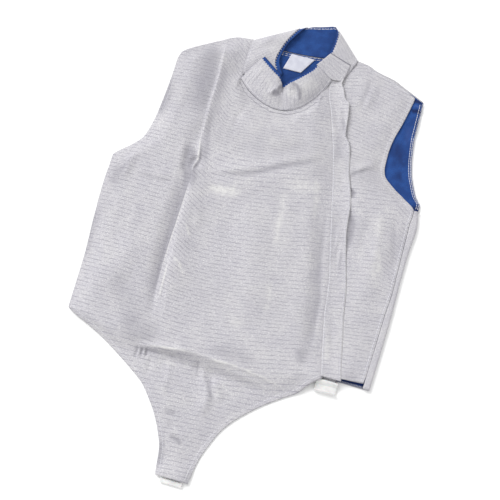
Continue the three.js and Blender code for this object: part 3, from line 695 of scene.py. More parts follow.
def upper_z(x, y):
    """Underside of the frame's upper layer, which the front, the zip and the side panel follow."""
    left = x - read(FRONT, y, "left")
    right = read(FRONT, y, "right") - x
    from_top = front_top(x) - y
    body = smooth(-232, -197, y)
    folds = folds_at(FOLDS, x, y)
    over_hook = lift_over(OVER_HOOK, x, y)
    on_back = mix(LINING_Z, REST_Z, smooth(0, 11, left))
    inside = smooth(0, EDGE_RISE, left) * smooth(*SEAM_RISE, right) * smooth(0, EDGE_RISE, from_top)
    air = mix(TONGUE_AIR, BODY_AIR, body) * inside
    neck = 0.9 * smooth(14, 0, from_top) * smooth(-100, -84, x)
    lift = air + neck + folds * inside + over_hook + lift_over(OVER_RING, x, y)
    front = body * on_back + np.maximum(lift, 0)
    seam = read(SIDE_SEAM, y, "x") - x
    turned = (TURNED_Z - REST_Z) * smooth(30, 0, seam) * smooth(UNDERARM_Y + 26, UNDERARM_Y - 6, y)
    inside = smooth(*SEAM_RISE, -right - FRONT_TO_ZIP) * smooth(0, 30, read(SIDE, y, "right") - x)
    inside = inside * smooth(0, 30, read(SIDE_SHOULDER, x, "y") - y)
    side = REST_Z + turned + (SIDE_AIR + folds) * inside + over_hook
    return np.where(right > -FRONT_TO_ZIP / 2, front, side)


def edge_fade(x, y):
    """0 at the cut edges of the front and the side panel and 1 well inside them."""
    left = smooth(0, 16, x - read(FRONT, y, "left"))
    right = smooth(0, 12, np.abs(read(FRONT, y, "right") + FRONT_TO_ZIP / 2 - x))
    return left * right * smooth(0, 14, read(SIDE, y, "right") + 3 - x)


def top_z(x, y):
    """Upper face of the front and the side panel, with the small creases of the cloth."""
    creases = folds_at(CREASES, x, y) * edge_fade(x, y)
    over_lining = LINING_Z + LINING_WALL + CLOTH + GAP
    lowest = over_lining * smooth(-196, -184, y) * smooth(8, 16, x - read(FRONT, y, "left"))
    top = upper_z(x, y) + WALL + creases + ripple(x, y)
    top = np.maximum(top, np.maximum(lowest, CLOTH)) + hem(x, y)
    beside_neck = smooth(30, 2, np.abs(x - NECK_LEFT_X)) * smooth(250, 274, y)
    return mix(top, np.minimum(top, 5.6), beside_neck * (x < 0))


def tone_at(x, y):
    """Painted light and shade of the front and the side panel: the strokes, lighter on the creases'
    ridges and darker in their valleys, and a little lighter along the sewn hems.
    """
    sewn = 0.25 * np.exp(-(((from_hemmed_edge(x, y) - HEM_STITCH) / 0.9) ** 2))
    return folds_at(TONES, x, y) + 0.1 * folds_at(CREASES, x, y) + sewn


def edge_line(data, column, low, high, steps=60, inset=0.0):
    """Points on a section table's edge from low to high."""
    y = np.linspace(low, high, steps)
    return np.stack([read(data, y, column) + inset, y], -1)


def from_hemmed_edge(x, y):
    """Distance from the leg line and the armholes."""
    edges = [
        edge_line(FRONT, "left", TONGUE_END_Y, LEG_TOP_Y),
        edge_line(FRONT, "right", TONGUE_END_Y, LEG_TOP_Y),
        edge_line(FRONT, "left", 76, 270),
        edge_line(SIDE, "right", 116, 306),
    ]
    return np.min([beside(edge, x, y)[0] for edge in edges], 0)


def hem(x, y):
    """Turned-in double cloth along the hemmed edges."""
    return 0.3 * smooth(HEM_WIDTH + 0.9, HEM_WIDTH - 0.9, from_hemmed_edge(x, y))


def ripple(x, y):
    """Slight unevenness of cloth that isn't stretched."""
    slow = np.sin(x / 23 + 1.3 * np.sin(y / 61)) * np.sin(y / 37 + 0.9 * np.sin(x / 53))
    quick = np.sin(x / 9.7 + 2.1 * np.sin(y / 31)) * np.sin(y / 13.1 + 1.7 * np.sin(x / 27))
    return (0.35 * slow + 0.16 * quick) * edge_fade(x, y)


# Meshes


def make_object(name, points, faces, uv=None, material=None, tone=None):
    mesh = bpy.data.meshes.new(name)
    mesh.from_pydata((np.asarray(points) * MM).tolist(), [], faces)
    if uv is not None:
        corners = np.empty(len(mesh.loops), int)
        mesh.loops.foreach_get("vertex_index", corners)
        layer = mesh.uv_layers.new(name="cloth")
        layer.data.foreach_set("uv", (uv[corners] * MM).ravel())
    # The tone attribute carries painted light and shade for the materials: lighter above zero, darker
    # below
    if tone is not None:
        attribute = mesh.attributes.new("tone", "FLOAT", "POINT")
        attribute.data.foreach_set("value", tone.astype(np.float32))
    mesh.shade_smooth()
    mesh.update()
    made = bpy.data.objects.new(name, mesh)
    bpy.context.collection.objects.link(made)
    if material:
        mesh.materials.append(material)
    return made


def grid_faces(shape, keep=None):
    """Faces of a closed sheet between two grids of rows x columns points."""
    index = np.arange(shape[0] * shape[1]).reshape(shape)
    above = index.size
    a, b, c, d = index[:-1, :-1], index[:-1, 1:], index[1:, 1:], index[1:, :-1]
    used = np.ones(a.shape, bool) if keep is None else keep
    faces = [np.stack([a, b, c, d], -1)[used] + above, np.stack([a, d, c, b], -1)[used]]
    padded = np.pad(used, 1)
    open_sides = [
        (a, b, padded[:-2, 1:-1]),
        (c, d, padded[2:, 1:-1]),
        (d, a, padded[1:-1, :-2]),
        (b, c, padded[1:-1, 2:]),
    ]
    for start, end, neighbour in open_sides:
        rim = used & ~neighbour
        p, q = start[rim], end[rim]
        faces.append(np.stack([p, q, q + above, p + above], -1))
    return np.concatenate(faces)


def make_sheet(name, lower, upper, uv, material, keep=None, tone=None):
    points = np.concatenate([lower.reshape(-1, 3), upper.reshape(-1, 3)])
    used, faces = np.unique(grid_faces(lower.shape[:2], keep), return_inverse=True)
    flat = np.tile(uv.reshape(-1, 2), (2, 1))
    if tone is not None:
        tone = np.tile(tone.ravel(), 2)[used]
    return make_object(name, points[used], faces.reshape(-1, 4).tolist(), flat[used], material, tone)


def make_layer(name, plan, top, thickness, uv, material, keep=None, tone=None):
    """Sheet over a plan of (x, y) points whose upper face is at top."""
    upper = np.dstack([plan, top])
    lower = np.dstack([plan, top - thickness])
    return make_sheet(name, lower, upper, uv, material, keep, tone)


def normals_of(grid):
    normal = np.cross(np.gradient(grid, axis=1), np.gradient(grid, axis=0))
    return normal / np.linalg.norm(normal, axis=2, keepdims=True)


def make_shell(name, middle, thickness, uv, material, keep=None, tone=None):
    shift = normals_of(middle) * thickness / 2
    return make_sheet(name, middle - shift, middle + shift, uv, material, keep, tone)


# Plans of the pieces, and the cloth coordinates that the weave follows


def spread(*parts):
    """Places along a line, each part (from, to, steps)."""
    places = [np.linspace(start, end, steps, endpoint=False) for start, end, steps in parts]
    return np.concatenate([*places, [parts[-1][1]]])


def climb(section, start, section_top, line_top):
    """Height of a line at a section: the same up to start, and then up to the line's own top."""
    above = start + (section - start) * (line_top - start) / (section_top - start)
    return np.where(section <= start, section, above)


def front_line(line, section):
    tops = {"left": 271, "crease": 331, "neck_left": NECK_Y, "right": 297}
    if line == "neck_right":
        low = climb(section, FRONT_BEND, NECK_SECTION, 274)
        high = mix(274, 299, (section - NECK_SECTION) / (NECK_Y - NECK_SECTION))
        y = np.where(section <= NECK_SECTION, low, high)
    else:
        y = climb(section, FRONT_BEND, NECK_Y, tops[line])
    return np.stack([read(FRONT, y, line), y], -1)


def front_plan(rows, blocks):
    """Plan of the front, in blocks of columns between its lines, which are closest at the crease."""
    section = spread(*rows)
    columns = [front_line("left", section)[:, None]]
    lines = ["left", "crease", "neck_left", "neck_right", "right"]
    for start, end, steps in zip(lines, lines[1:], blocks):
        t = np.arange(1, steps + 1)[None, :, None] / steps
        if start == "left":
            t = 1 - (1 - t) ** 1.7
        elif start == "crease":
            t = t**1.5
        block = mix(front_line(start, section)[:, None], front_line(end, section)[:, None], t)
        inner = block[:, :-1]
        if start != "neck_right":
            at_neck = start == "neck_left"
            top = read(NECKLINE if at_neck else SHOULDER, inner[..., 0], "y")
            last = NECK_SECTION if at_neck else NECK_Y
            inner[..., 1] = climb(section[:, None], FRONT_BEND, last, top)
        columns.append(block)
    return np.concatenate(columns, 1)


def table_plan(sections, rows, columns, start, top, curve, left, insets):
    """Plan between two edges, section by section, whose top follows a curve across it.

    The right edge has one inset up to the underarm and another above it.
    """
    section = spread(*rows)
    left_y = climb(section, start, section[-1], top[0])
    right_y = climb(section, start, section[-1], top[1])
    first = read(sections, left_y, "left") + left
    last = read(sections, right_y, "right") - np.where(right_y <= UNDERARM_Y, *insets)
    x = mix(first[:, None], last[:, None], np.linspace(0, 1, columns + 1)[None])
    return np.dstack([x, climb(section[:, None], start, section[-1], read(curve, x, "y"))])


def band_plan(y, first, last, columns):
    """Plan of level rows between two edges."""
    x = mix(first[:, None], last[:, None], np.linspace(0, 1, columns + 1))
    return np.dstack([x, np.tile(y[:, None], columns + 1)])


def cloth_uv(x, y):
    """Cloth coordinates of the front and side: the woven lines run where v is constant."""
    places = np.linspace(-260, 260, 521)
    rise = np.concatenate([[0], np.cumsum(read(RISE, places[:-1] + 0.5, "slope"))])
    on_body = smooth(-270, LEG_TOP_Y, y)
    skewed = 0.07 * x * (1 - on_body)
    for turn, start, width, low, full, high_full, high in zip(*TURNED_STRIPS.values()):
        strip = turn * np.clip(x - start, 0, width)
        skewed -= strip * smooth(low, full, y) * smooth(high, high_full, y)
    return np.stack([x, y - np.interp(x, places, rise) * on_body - skewed], -1)


def curve_points(points, t):
    """Smooth curve through points, with t from 0 to 1 over all of them."""
    last = len(points) - 1
    before, after = 2 * points[0] - points[1], 2 * points[-1] - points[-2]
    extended = np.concatenate([[before], points, [after]])
    place = np.clip(t, 0, 1) * last
    i = np.minimum(place.astype(int), last - 1)
    p = [extended[i + k] for k in range(4)]
    d = [np.linalg.norm(b - a, axis=1)[:, None] ** 0.5 for a, b in zip(p, p[1:])]
    start = (p[1] - p[0]) / d[0] - (p[2] - p[0]) / (d[0] + d[1]) + (p[2] - p[1]) / d[1]
    end = (p[2] - p[1]) / d[1] - (p[3] - p[1]) / (d[1] + d[2]) + (p[3] - p[2]) / d[2]
    return p[1] + bend(start * d[1], end * d[1], p[2] - p[1], (place - i)[:, None])


def stations_of(shape, end=""):
    return np.stack([shape[end + axis] for axis in "xyz"], -1)


def collar_grid(shape, steps, up):
    """Points of the collar's middle, smooth round its stations and lifted from base to top."""
    last = len(shape["lift"]) - 1
    t = np.linspace(0, 1, steps * last + 1)
    base = curve_points(stations_of(shape), t)
    top = curve_points(stations_of(shape, "top_"), t)
    lift = read({"at": np.arange(last + 1.0), "lift": shape["lift"]}, t * last, "lift")
    share = up[:, None, None]
    grid = mix(base[None], top[None], share)
    grid[..., 2] += (lift * 4)[None] * (share * (1 - share))[..., 0]
    return grid


def lengths_uv(grid):
    """Cloth coordinates from lengths along and up a grid."""
    along = np.linalg.norm(np.diff(grid, axis=1), axis=2).mean(0)
    up = np.linalg.norm(np.diff(grid, axis=0), axis=2).mean(1)
    return np.dstack(np.meshgrid(*[np.concatenate([[0], np.cumsum(steps)]) for steps in (along, up)]))


# Materials


class Finish:
    """A material whose patterns are built up as nodes in front of one surface shader."""

    def __init__(self, name, roughness, inputs):
        self.material = bpy.data.materials.new(name)
        self.material.use_nodes = True
        self.tree = self.material.node_tree
        self.shader = self.tree.nodes["Principled BSDF"]
        self.shader.inputs["Roughness"].default_value = roughness
        self.shader.inputs["Sheen Roughness"].default_value = 0.4
        for key, value in inputs.items():
            self.shader.inputs[key].default_value = value
        cloth = self.add("ShaderNodeUVMap")
        cloth.uv_map = "cloth"
        self.place = self.add("ShaderNodeTexCoord").outputs["Object"]
        split = self.add("ShaderNodeSeparateXYZ")
        self.link(cloth.outputs["UV"], split.inputs[0])
        self.u, self.v = split.outputs[0], split.outputs[1]

    def add(self, kind):
        return self.tree.nodes.new(kind)

    def link(self, source, target):
        if isinstance(source, bpy.types.NodeSocket):
            self.tree.links.new(source, target)
        else:
            target.default_value = source

    def math(self, operation, *values):
        node = self.add("ShaderNodeMath")
        node.operation = operation
        for value, target in zip(values, node.inputs):
            self.link(value, target)
        return node.outputs[0]

    def ramp(self, value, low, high, start=0.0, end=1.0):
        """start below low, end above high, and smooth between them."""
        node = self.add("ShaderNodeMapRange")
        node.interpolation_type = "SMOOTHSTEP"
        for source, target in zip((value, low, high, start, end), node.inputs):
            self.link(source, target)
        return node.outputs[0]

    def noise(self, scale, detail=2.0, place=None):
        node = self.add("ShaderNodeTexNoise")
        node.inputs["Scale"].default_value = scale
        node.inputs["Detail"].default_value = detail
        self.link(self.place if place is None else place, node.inputs["Vector"])
        return node.outputs[0]

    def tone(self):
        node = self.add("ShaderNodeAttribute")
        node.attribute_name = "tone"
        return node.outputs["Fac"]

    def turned(self, angle, share):
        """Cloth coordinates turned by an angle in degrees; a small share draws patterns out."""
        cos, sin = math.cos(math.radians(angle)), math.sin(math.radians(angle))
        node = self.add("ShaderNodeCombineXYZ")
        for of_u, of_v, target in ((cos * share, sin * share, 0), (-sin, cos, 1)):
            across = self.math("MULTIPLY", self.v, of_v)
            self.link(self.math("MULTIPLY_ADD", self.u, of_u, across), node.inputs[target])
        return node.outputs[0]

    def wave(self, period, angle):
        """Fine parallel ribs of a period in metres, at an angle in degrees to the cloth's u."""
        turn = math.radians(angle)
        across = self.math("MULTIPLY", self.u, -math.sin(turn) * 2 * math.pi / period)
        up = self.math("MULTIPLY_ADD", self.v, math.cos(turn) * 2 * math.pi / period, across)
        return self.math("SINE", up)

    def between(self, factor, first, second):
        node = self.add("ShaderNodeMix")
        node.data_type = "RGBA"
        self.link(factor, node.inputs[0])
        for colour, target in ((first, node.inputs[6]), (second, node.inputs[7])):
            self.link((*colour, 1) if isinstance(colour, tuple) else colour, target)
        return node.outputs[2]

    def finish(self, colour, height, distance):
        """The material, with its colour and with bumps of a height in metres."""
        node = self.add("ShaderNodeBump")
        node.inputs["Distance"].default_value = distance
        self.link(height, node.inputs["Height"])
        self.link(node.outputs[0], self.shader.inputs["Normal"])
        self.link(colour, self.shader.inputs["Base Color"])
        return self.material


# How strongly the broken lines show, by the way that they run
LINE_SHARE = {"level": 1.0, "upright": 0.85, "checked": 0.85, "plain": 0.12}


def woven_lines(f, along, across):
    """Broken lines every few millimetres of across, each starting at its own place along."""
    period, dash = 0.0066, 0.031
    drift = f.math("MULTIPLY_ADD", f.noise(26), 0.004, across)
    drift = f.math("MULTIPLY_ADD", f.noise(190, 3), 0.0011, drift)
    line = f.math("DIVIDE", drift, period)
    from_line = f.math("ABSOLUTE", f.math("SUBTRACT", f.math("FRACT", line), 0.5))
    on_line = f.ramp(from_line, 0.01, 0.13, 1.0, 0.0)
    white = f.add("ShaderNodeTexWhiteNoise")
    white.noise_dimensions = "1D"
    f.link(f.math("FLOOR", line), white.inputs["W"])
    place = f.math("FRACT", f.math("ADD", f.math("DIVIDE", along, dash), white.outputs[0]))
    on_dash = f.math("MULTIPLY", f.ramp(place, 0.0, 0.12), f.ramp(place, 0.82, 0.96, 1.0, 0.0))
    worn = f.ramp(f.noise(170, 3), 0.34, 0.58, 0.42, 1.0)
    return f.math("MULTIPLY", f.math("MULTIPLY", on_line, on_dash), worn)


def lame_finish(name, lines):
    """Woven conductive cloth: broken darker lines across a fine twill, with a dull sheen."""
    f = Finish(name, 0.56, {"Metallic": 0.12, "Sheen Weight": 0.1})
    if lines in ("level", "plain"):
        dashes = woven_lines(f, f.u, f.v)
    else:
        dashes = woven_lines(f, f.v, f.u)
    if lines == "checked":
        level = f.math("MULTIPLY", woven_lines(f, f.u, f.v), f.ramp(f.u, 0.07, 0.12))
        dashes = f.math("MAXIMUM", dashes, level)
    dashes = f.math("MULTIPLY", dashes, LINE_SHARE[lines])
    patches = f.ramp(f.noise(55), 0.4, 0.62)
    slant = f.math("MULTIPLY", f.ramp(f.wave(0.0041, 38), -0.7, 0.9), patches)
    grain = f.noise(960, 2, f.turned(0, 0.42))
    glint = f.noise(900, 2, f.turned(40, 0.5))
    tone = f.tone()
    # shine is a painted sheen: lighter where the tone attribute is above zero, broken up by noise
    shine = f.math("MULTIPLY", f.ramp(tone, 0.0, 0.95), f.ramp(f.noise(120, 3), 0.3, 0.65, 0.2, 0.6))
    base = f.between(f.ramp(f.noise(30, 4), 0.35, 0.7), (0.499, 0.488, 0.523), (0.55, 0.539, 0.56))
    layers = [
        (f.ramp(grain, 0.42, 0.66, 0.0, 0.5), (0.315, 0.302, 0.35)),
        (f.ramp(glint, 0.5, 0.7, 0.0, 0.56), (0.835, 0.835, 0.81)),
        (f.math("MULTIPLY", slant, 0.25), (0.35, 0.341, 0.394)),
        (f.math("MULTIPLY", dashes, 0.7), (0.298, 0.289, 0.35)),
        (shine, (0.752, 0.744, 0.717)),
        # painted shade where the tone attribute is below zero
        (f.ramp(tone, 0.0, -0.9, 0.0, 0.68), (0.25, 0.243, 0.28)),
    ]
    for share, colour in layers:
        base = f.between(share, base, colour)
    height = f.math("MULTIPLY_ADD", f.wave(0.0011, 52), 0.12, f.math("MULTIPLY", f.noise(1300), 0.3))
    height = f.math("MULTIPLY_ADD", grain, 0.7, height)
    return f.finish(base, f.math("SUBTRACT", height, f.math("MULTIPLY", dashes, 0.6)), 0.0006)


def lining_finish():
    f = Finish("blue_lining", 0.82, {"Sheen Weight": 0.08, "Specular IOR Level": 0.2})
    tone = f.tone()
    weave = f.math("MULTIPLY", f.wave(0.0009, 45), f.wave(0.0009, -45))
    thread = f.noise(700, 3)
    base = f.between(f.ramp(f.noise(60, 3), 0.35, 0.7), (0.015, 0.058, 0.23), (0.023, 0.09, 0.33))
    base = f.between(f.ramp(thread, 0.35, 0.75, 0.0, 0.6), base, (0.02, 0.04, 0.15))
    # Painted shade where the tone attribute is below zero, and painted highlights where it is above
    # zero
    base = f.between(f.ramp(tone, 0.0, -1.0, 0.0, 0.8), base, (0.008, 0.012, 0.06))
    base = f.between(f.ramp(tone, 0.0, 1.0, 0.0, 0.6), base, (0.09, 0.15, 0.42))
    return f.finish(base, f.math("MULTIPLY_ADD", weave, 0.3, thread), 0.0004)


def ribbon_finish():
    f = Finish("label_cloth", 0.42, {"Sheen Weight": 0.3})
    base = f.between(f.ramp(f.noise(80, 3), 0.3, 0.7), (0.56, 0.57, 0.66), (0.66, 0.67, 0.75))
    ribs = f.math("MULTIPLY_ADD", f.wave(0.0008, 0), 0.35, f.math("MULTIPLY", f.noise(800), 0.3))
    return f.finish(base, ribs, 0.0002)


def webbing_finish():
    f = Finish("white_webbing", 0.75, {"Sheen Weight": 0.3})
    rib = f.math("MAXIMUM", f.wave(0.0022, 35), f.wave(0.0022, -35))
    base = f.between(f.ramp(rib, -0.4, 0.6), (0.42, 0.42, 0.47), (0.66, 0.66, 0.69))
    return f.finish(base, f.math("MULTIPLY_ADD", rib, 0.6, f.noise(900)), 0.0004)


def plastic_finish():
    f = Finish("white_plastic", 0.34, {"Subsurface Weight": 0.08, "Subsurface Scale": 0.002})
    base = f.between(f.ramp(f.noise(120, 3), 0.3, 0.7), (0.71, 0.71, 0.7), (0.79, 0.79, 0.78))
    return f.finish(base, f.noise(420, 4), 0.00012)


def thread_finish(name, dark, light):
    f = Finish(name, 0.55, {"Sheen Weight": 0.3})
    return f.finish(f.between(f.noise(600), dark, light), f.noise(1500), 0.0001)


LAME = lame_finish("lame_cloth", "level")
UPRIGHT = lame_finish("lame_cloth_upright", "upright")
CHECKED = lame_finish("lame_cloth_checked", "checked")
PLAIN = lame_finish("lame_cloth_plain", "plain")
BLUE = lining_finish()
RIBBON = ribbon_finish()
WEB = webbing_finish()
PLASTIC = plastic_finish()
THREAD = thread_finish("pale_thread", (0.62, 0.62, 0.68), (0.85, 0.85, 0.9))
# Dark thread, which stands for a dark seam and also for the shadow at the tab's edge and under the
# front collar's base
DARK_SEAM_AND_SHADOW = thread_finish("dark_seam_and_shadow", (0.03, 0.03, 0.06), (0.09, 0.09, 0.14))

# Camera, light and the table

TURN = math.radians(16)  # the photograph is turned and tilted by this much
LOOKS_AT = Vector((0.007, -0.0205, 0))
camera = bpy.data.objects.new("camera", bpy.data.cameras.new("camera"))
camera.data.lens = 67.5
camera.data.sensor_width = 36
camera.location = (0.1210, -0.4180, 1.4419)
back = (camera.location - LOOKS_AT).normalized()
across = Vector((-math.sin(TURN), math.cos(TURN), 0)).cross(back).normalized()
camera.rotation_euler = Matrix((across, back.cross(across), back)).transposed().to_euler()
bpy.context.collection.objects.link(camera)

world = bpy.data.worlds.new("studio")
world.use_nodes = True
world.node_tree.nodes["Background"].inputs["Color"].default_value = (1, 1, 1, 1)
world.node_tree.nodes["Background"].inputs["Strength"].default_value = 0.85
scene = bpy.context.scene
scene.camera = camera
scene.world = world
scene.view_settings.view_transform = "Standard"

key = bpy.data.objects.new("key", bpy.data.lights.new("key", "SUN"))
key.data.energy = 2.15
key.data.angle = math.radians(34)
key.location = (-1.5, 0.95, 1.3)
key.rotation_euler = (-key.location).to_track_quat("-Z", "Y").to_euler()
bpy.context.collection.objects.link(key)

FLOOR_SIZE, FLOOR_Z = 3000, -0.5
corners = [(-1, -1), (1, -1), (1, 1), (-1, 1)]
floor_points = [(x * FLOOR_SIZE, y * FLOOR_SIZE, FLOOR_Z) for x, y in corners]
paper = bpy.data.materials.new("paper")
paper.use_nodes = True
paper.node_tree.nodes["Principled BSDF"].inputs["Base Color"].default_value = (0.98, 0.98, 0.98, 1)
paper.node_tree.nodes["Principled BSDF"].inputs["Roughness"].default_value = 0.9
make_object("floor", floor_points, [(0, 1, 2, 3)], None, paper)

# Cloth


def add_piece(made, node, body="garment"):
    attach(made, body)
    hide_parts(node)
    return made


def make_front():
    rows = [
        (TONGUE_END_Y, -240, 66), (-240, -188, 40), (-188, 76, 96), (76, FRONT_BEND, 44),
        (FRONT_BEND, NECK_SECTION, 42), (NECK_SECTION, NECK_Y, 24),
    ]
    blocks = (42, 24, 54, 24)
    plan = front_plan(rows, blocks)
    x, y = plan[..., 0], plan[..., 1]
    keep = np.ones((len(plan) - 1, plan.shape[1] - 1), bool)
    neck = sum(blocks[:2])
    keep[-rows[-1][2]:, neck:neck + blocks[2]] = False
    uv = cloth_uv(x, y)
    return make_layer("front_cloth", plan, top_z(x, y), CLOTH, uv, LAME, keep, tone_at(x, y))


def make_side():
    rows = [(-179, UNDERARM_Y, 120), (UNDERARM_Y, SIDE_BEND, 40), (SIDE_BEND, 347, 74)]
    plan = table_plan(SIDE, rows, 64, SIDE_BEND, (347, 307), SIDE_SHOULDER, 0, (-0.7, 0))
    # the hem drops towards the zip
    plan[..., 1] -= 5 * np.linspace(1, 0, plan.shape[1]) * smooth(-120, -179, plan[..., 1])
    x, y = plan[..., 0], plan[..., 1]
    uv = cloth_uv(x, y) + (3, 2.6)
    return make_layer("side_cloth", plan, top_z(x, y), CLOTH, uv, LAME, None, tone_at(x, y))


def make_zip():
    y = np.linspace(-178, 284, 90)
    plan = band_plan(y, read(FRONT, y, "right") + GAP, read(SIDE, y, "left") - 2 * GAP, 6)
    return make_layer("zip_tape", plan, upper_z(plan[..., 0], plan[..., 1]) + WALL, DOUBLED, plan, LAME)


def placket_thinning(across):
    return 0.45 * smooth(0.86, 1, across)


def placket_top(x, y):
    """Sewn down at its left edge, loose and wavy at the right one, and tucked below the tab."""
    start, end = read(PLACKET, y, "left"), read(PLACKET, y, "right")
    across = (x - start) / (end - start)
    lift = read(PLACKET_LIFT, y, "lift") * across**3 - placket_thinning(across)
    tucked = 1.1 * smooth(297, 303, y)
    return upper_z(x, y) + WALL + CLOTH + 0.2 + lift + tucked + folds_at(PLACKET_CREASES, x, y)


def make_placket():
    columns = 20
    y = spread((-186, 200, 190), (200, 307, 64))
    plan = band_plan(y, read(PLACKET, y, "left"), read(PLACKET, y, "right"), columns)
    x, y = plan[..., 0], plan[..., 1]
    across = np.linspace(0, 1, columns + 1)[None]
    # Painted highlights and shade along the placket's creases, a painted highlight along the fold of
    # its loose right edge, and lighter along its sewn left edge
    tone = folds_at(PLACKET_TONES, x, y) + 0.25 * folds_at(PLACKET_CREASES, x, y)
    tone += 0.7 * smooth(0.93, 1, across) + 0.4 * smooth(0.07, 0, across)
    thickness = CLOTH - placket_thinning(across) * np.ones(x.shape)
    uv = cloth_uv(x, y) + (5, 1.2)
    return make_layer("placket_cloth", plan, placket_top(x, y), thickness, uv, LAME, None, tone)


def make_back():
    """The back, with its strip that turns forward round the side up to the seam."""
    flat, turns, steps = 60, 14, 4
    turn_width = FOLD_RADIUS + WALL / 2
    insets = turn_width + WALL / 2, 0.9
    rows = [(-187, UNDERARM_Y, 90), (UNDERARM_Y, 180, 30), (180, NECK_Y, 44)]
    plan = table_plan(BACK, rows, flat, BACK_BEND, (269, 306), BACK_TOP, 0, insets)
    middle = np.dstack([plan, np.full(plan.shape[:2], WALL / 2)])
    edge = middle[:, -1]
    angle = np.pi * np.arange(1, turns + 1) / turns
    turned = np.repeat(edge[:, None], turns + steps, 1)
    turned[:, :turns, 0] += np.sin(angle) * turn_width
    turned[:, :turns, 2] += (1 - np.cos(angle)) * FOLD_RADIUS
    seam = read(SIDE_SEAM, edge[:, 1], "x") + GAP
    turned[:, turns:, 0] = mix(edge[:, :1], seam[:, None], np.arange(1, steps + 1) / steps)
    turned[:, turns:, 2] = TURNED_Z + WALL / 2
    middle = np.concatenate([middle, turned], 1)
    keep = np.ones((len(middle) - 1, middle.shape[1] - 1), bool)
    keep[plan[1:, -1, 1] > UNDERARM_Y + GAP, flat:] = False
    made = make_shell("back_cloth", middle, SHELL, middle[..., :2], LAME, keep)
    made.data.materials.append(PLAIN)
    for face in made.data.polygons:
        face.material_index = int(face.center.z > FOLD_RADIUS * MM)
    return made


def lining_top(x, y):
    """Upper face of the lining, folded over where the armhole begins and ends."""
    folded = folds_at(LINING_CREASES, x, y) * smooth(60, 110, y) * smooth(120, 180, x)
    return LINING_Z + LINING_WALL + np.maximum(folded, 0)


def make_back_lining():
    curve = dict(BACK_TOP)
    curve["y"] = curve["y"] - np.where(np.abs(curve["x"]) > 88, 3, 0.6)
    rows = [(-186, UNDERARM_Y, 60), (UNDERARM_Y, 180, 50), (180, NECK_Y, 84)]
    plan = table_plan(BACK, rows, 60, BACK_BEND, (266, 303.5), curve, 12, (9, 0.4))
    x, y = plan[..., 0], plan[..., 1]
    tone = folds_at(LINING_TONES, x, y)
    return make_layer("back_lining_cloth", plan, lining_top(x, y), CLOTH, plan, BLUE, None, tone)


def make_collar(half, shape, steps, dents, shades, material):
    """Grey outside, whose lower edge laps over the neckline, and blue inside."""
    blue = collar_grid(shape, steps, np.linspace(0, 1, 41))
    grey = collar_grid(shape, steps, np.linspace(-0.045, BLUE_EDGE, 43))
    normal = normals_of(grey)
    blue_rows, grey_rows = (np.linspace(0, 1, len(grid))[:, None] for grid in (blue, grey))
    for grid, rows in ((blue, blue_rows), (grey, grey_rows)):
        x, y = grid[..., 0], grid[..., 1]
        flutter = np.sin(x / 4.3 + 0.8) * np.sin(y / 5.1) * np.sin(np.pi * rows)
        grid[..., 2] += folds_at(dents, x, y) + 0.22 * flutter
    grey = grey + normal * COLLAR_OFFSET
    grey[..., 2] = np.maximum(grey[..., 2], FLOOR_CLEARANCE)
    # Painted shade and light from the shade strokes, and painted shade along the grey's lower edge
    # where it laps over the neckline
    shade = folds_at(shades, grey[..., 0], grey[..., 1]) - 0.5 * smooth(0.06, 0, grey_rows)
    # Painted shade in a line along the top edge of the blue
    rim = -0.9 * smooth(0.965, 1, blue_rows) * np.ones(blue.shape[:2])
    outside = make_shell(f"collar_{half}_cloth", grey, SHELL, lengths_uv(grey), material, None, shade)
    uv = lengths_uv(blue)
    inside = make_shell(f"collar_{half}_blue", blue, COLLAR_LINING, uv, BLUE, None, rim)
    add_piece(outside, f"collar_{half}")
    add_piece(inside, f"collar_{half}_lining")
    return outside, inside, grey, blue


def make_tab():
    at = np.linspace(0, TAB["at"][-1], 37)
    curves = {name: read(TAB, at, name) for name in TAB}
    up = np.linspace(0, 1, 25)[:, None, None]
    middle = mix(stations_of(curves)[None], stations_of(curves, "top_")[None], up)
    # Painted shade darkening the tab's far end
    tone = -2.4 * smooth(0.96, 1, np.linspace(0, 1, len(at))) * np.ones((len(up), 1))
    return make_shell("tab_cloth", middle, DOUBLED, lengths_uv(middle), CHECKED, None, tone), middle


def make_label():
    y = np.linspace(301, 331, 21)
    plan = band_plan(y, read(LABEL, y, "left"), read(LABEL, y, "right"), 24)
    top = np.full(plan.shape[:2], LINING_Z + 2 * LINING_WALL + GAP)
    return make_layer("label_ribbon", plan, top, RIBBON_WALL, plan, RIBBON)


front = add_piece(make_front(), "front_panel")
side_cloth = add_piece(make_side(), "side_panel")
zip_tape = add_piece(make_zip(), "zip")
placket = add_piece(make_placket(), "placket")
back_cloth = add_piece(make_back(), "back_panel")
lining = add_piece(make_back_lining(), "back_lining")
grey_back, blue_back, back_outer, back_inner = make_collar(
    "back", BACK_COLLAR, 10, BACK_DENTS, BACK_SHADES, UPRIGHT
)
grey_front, blue_front, front_outer, front_inner = make_collar(
    "front", FRONT_COLLAR, 12, FRONT_DENTS, FRONT_SHADES, CHECKED
)
tab_cloth, tab_grid = make_tab()
tab = add_piece(tab_cloth, "collar_tab")
label = add_piece(make_label(), "neck_label")

# Stitching: distance between the stitches, their length and radius, and how far they are turned

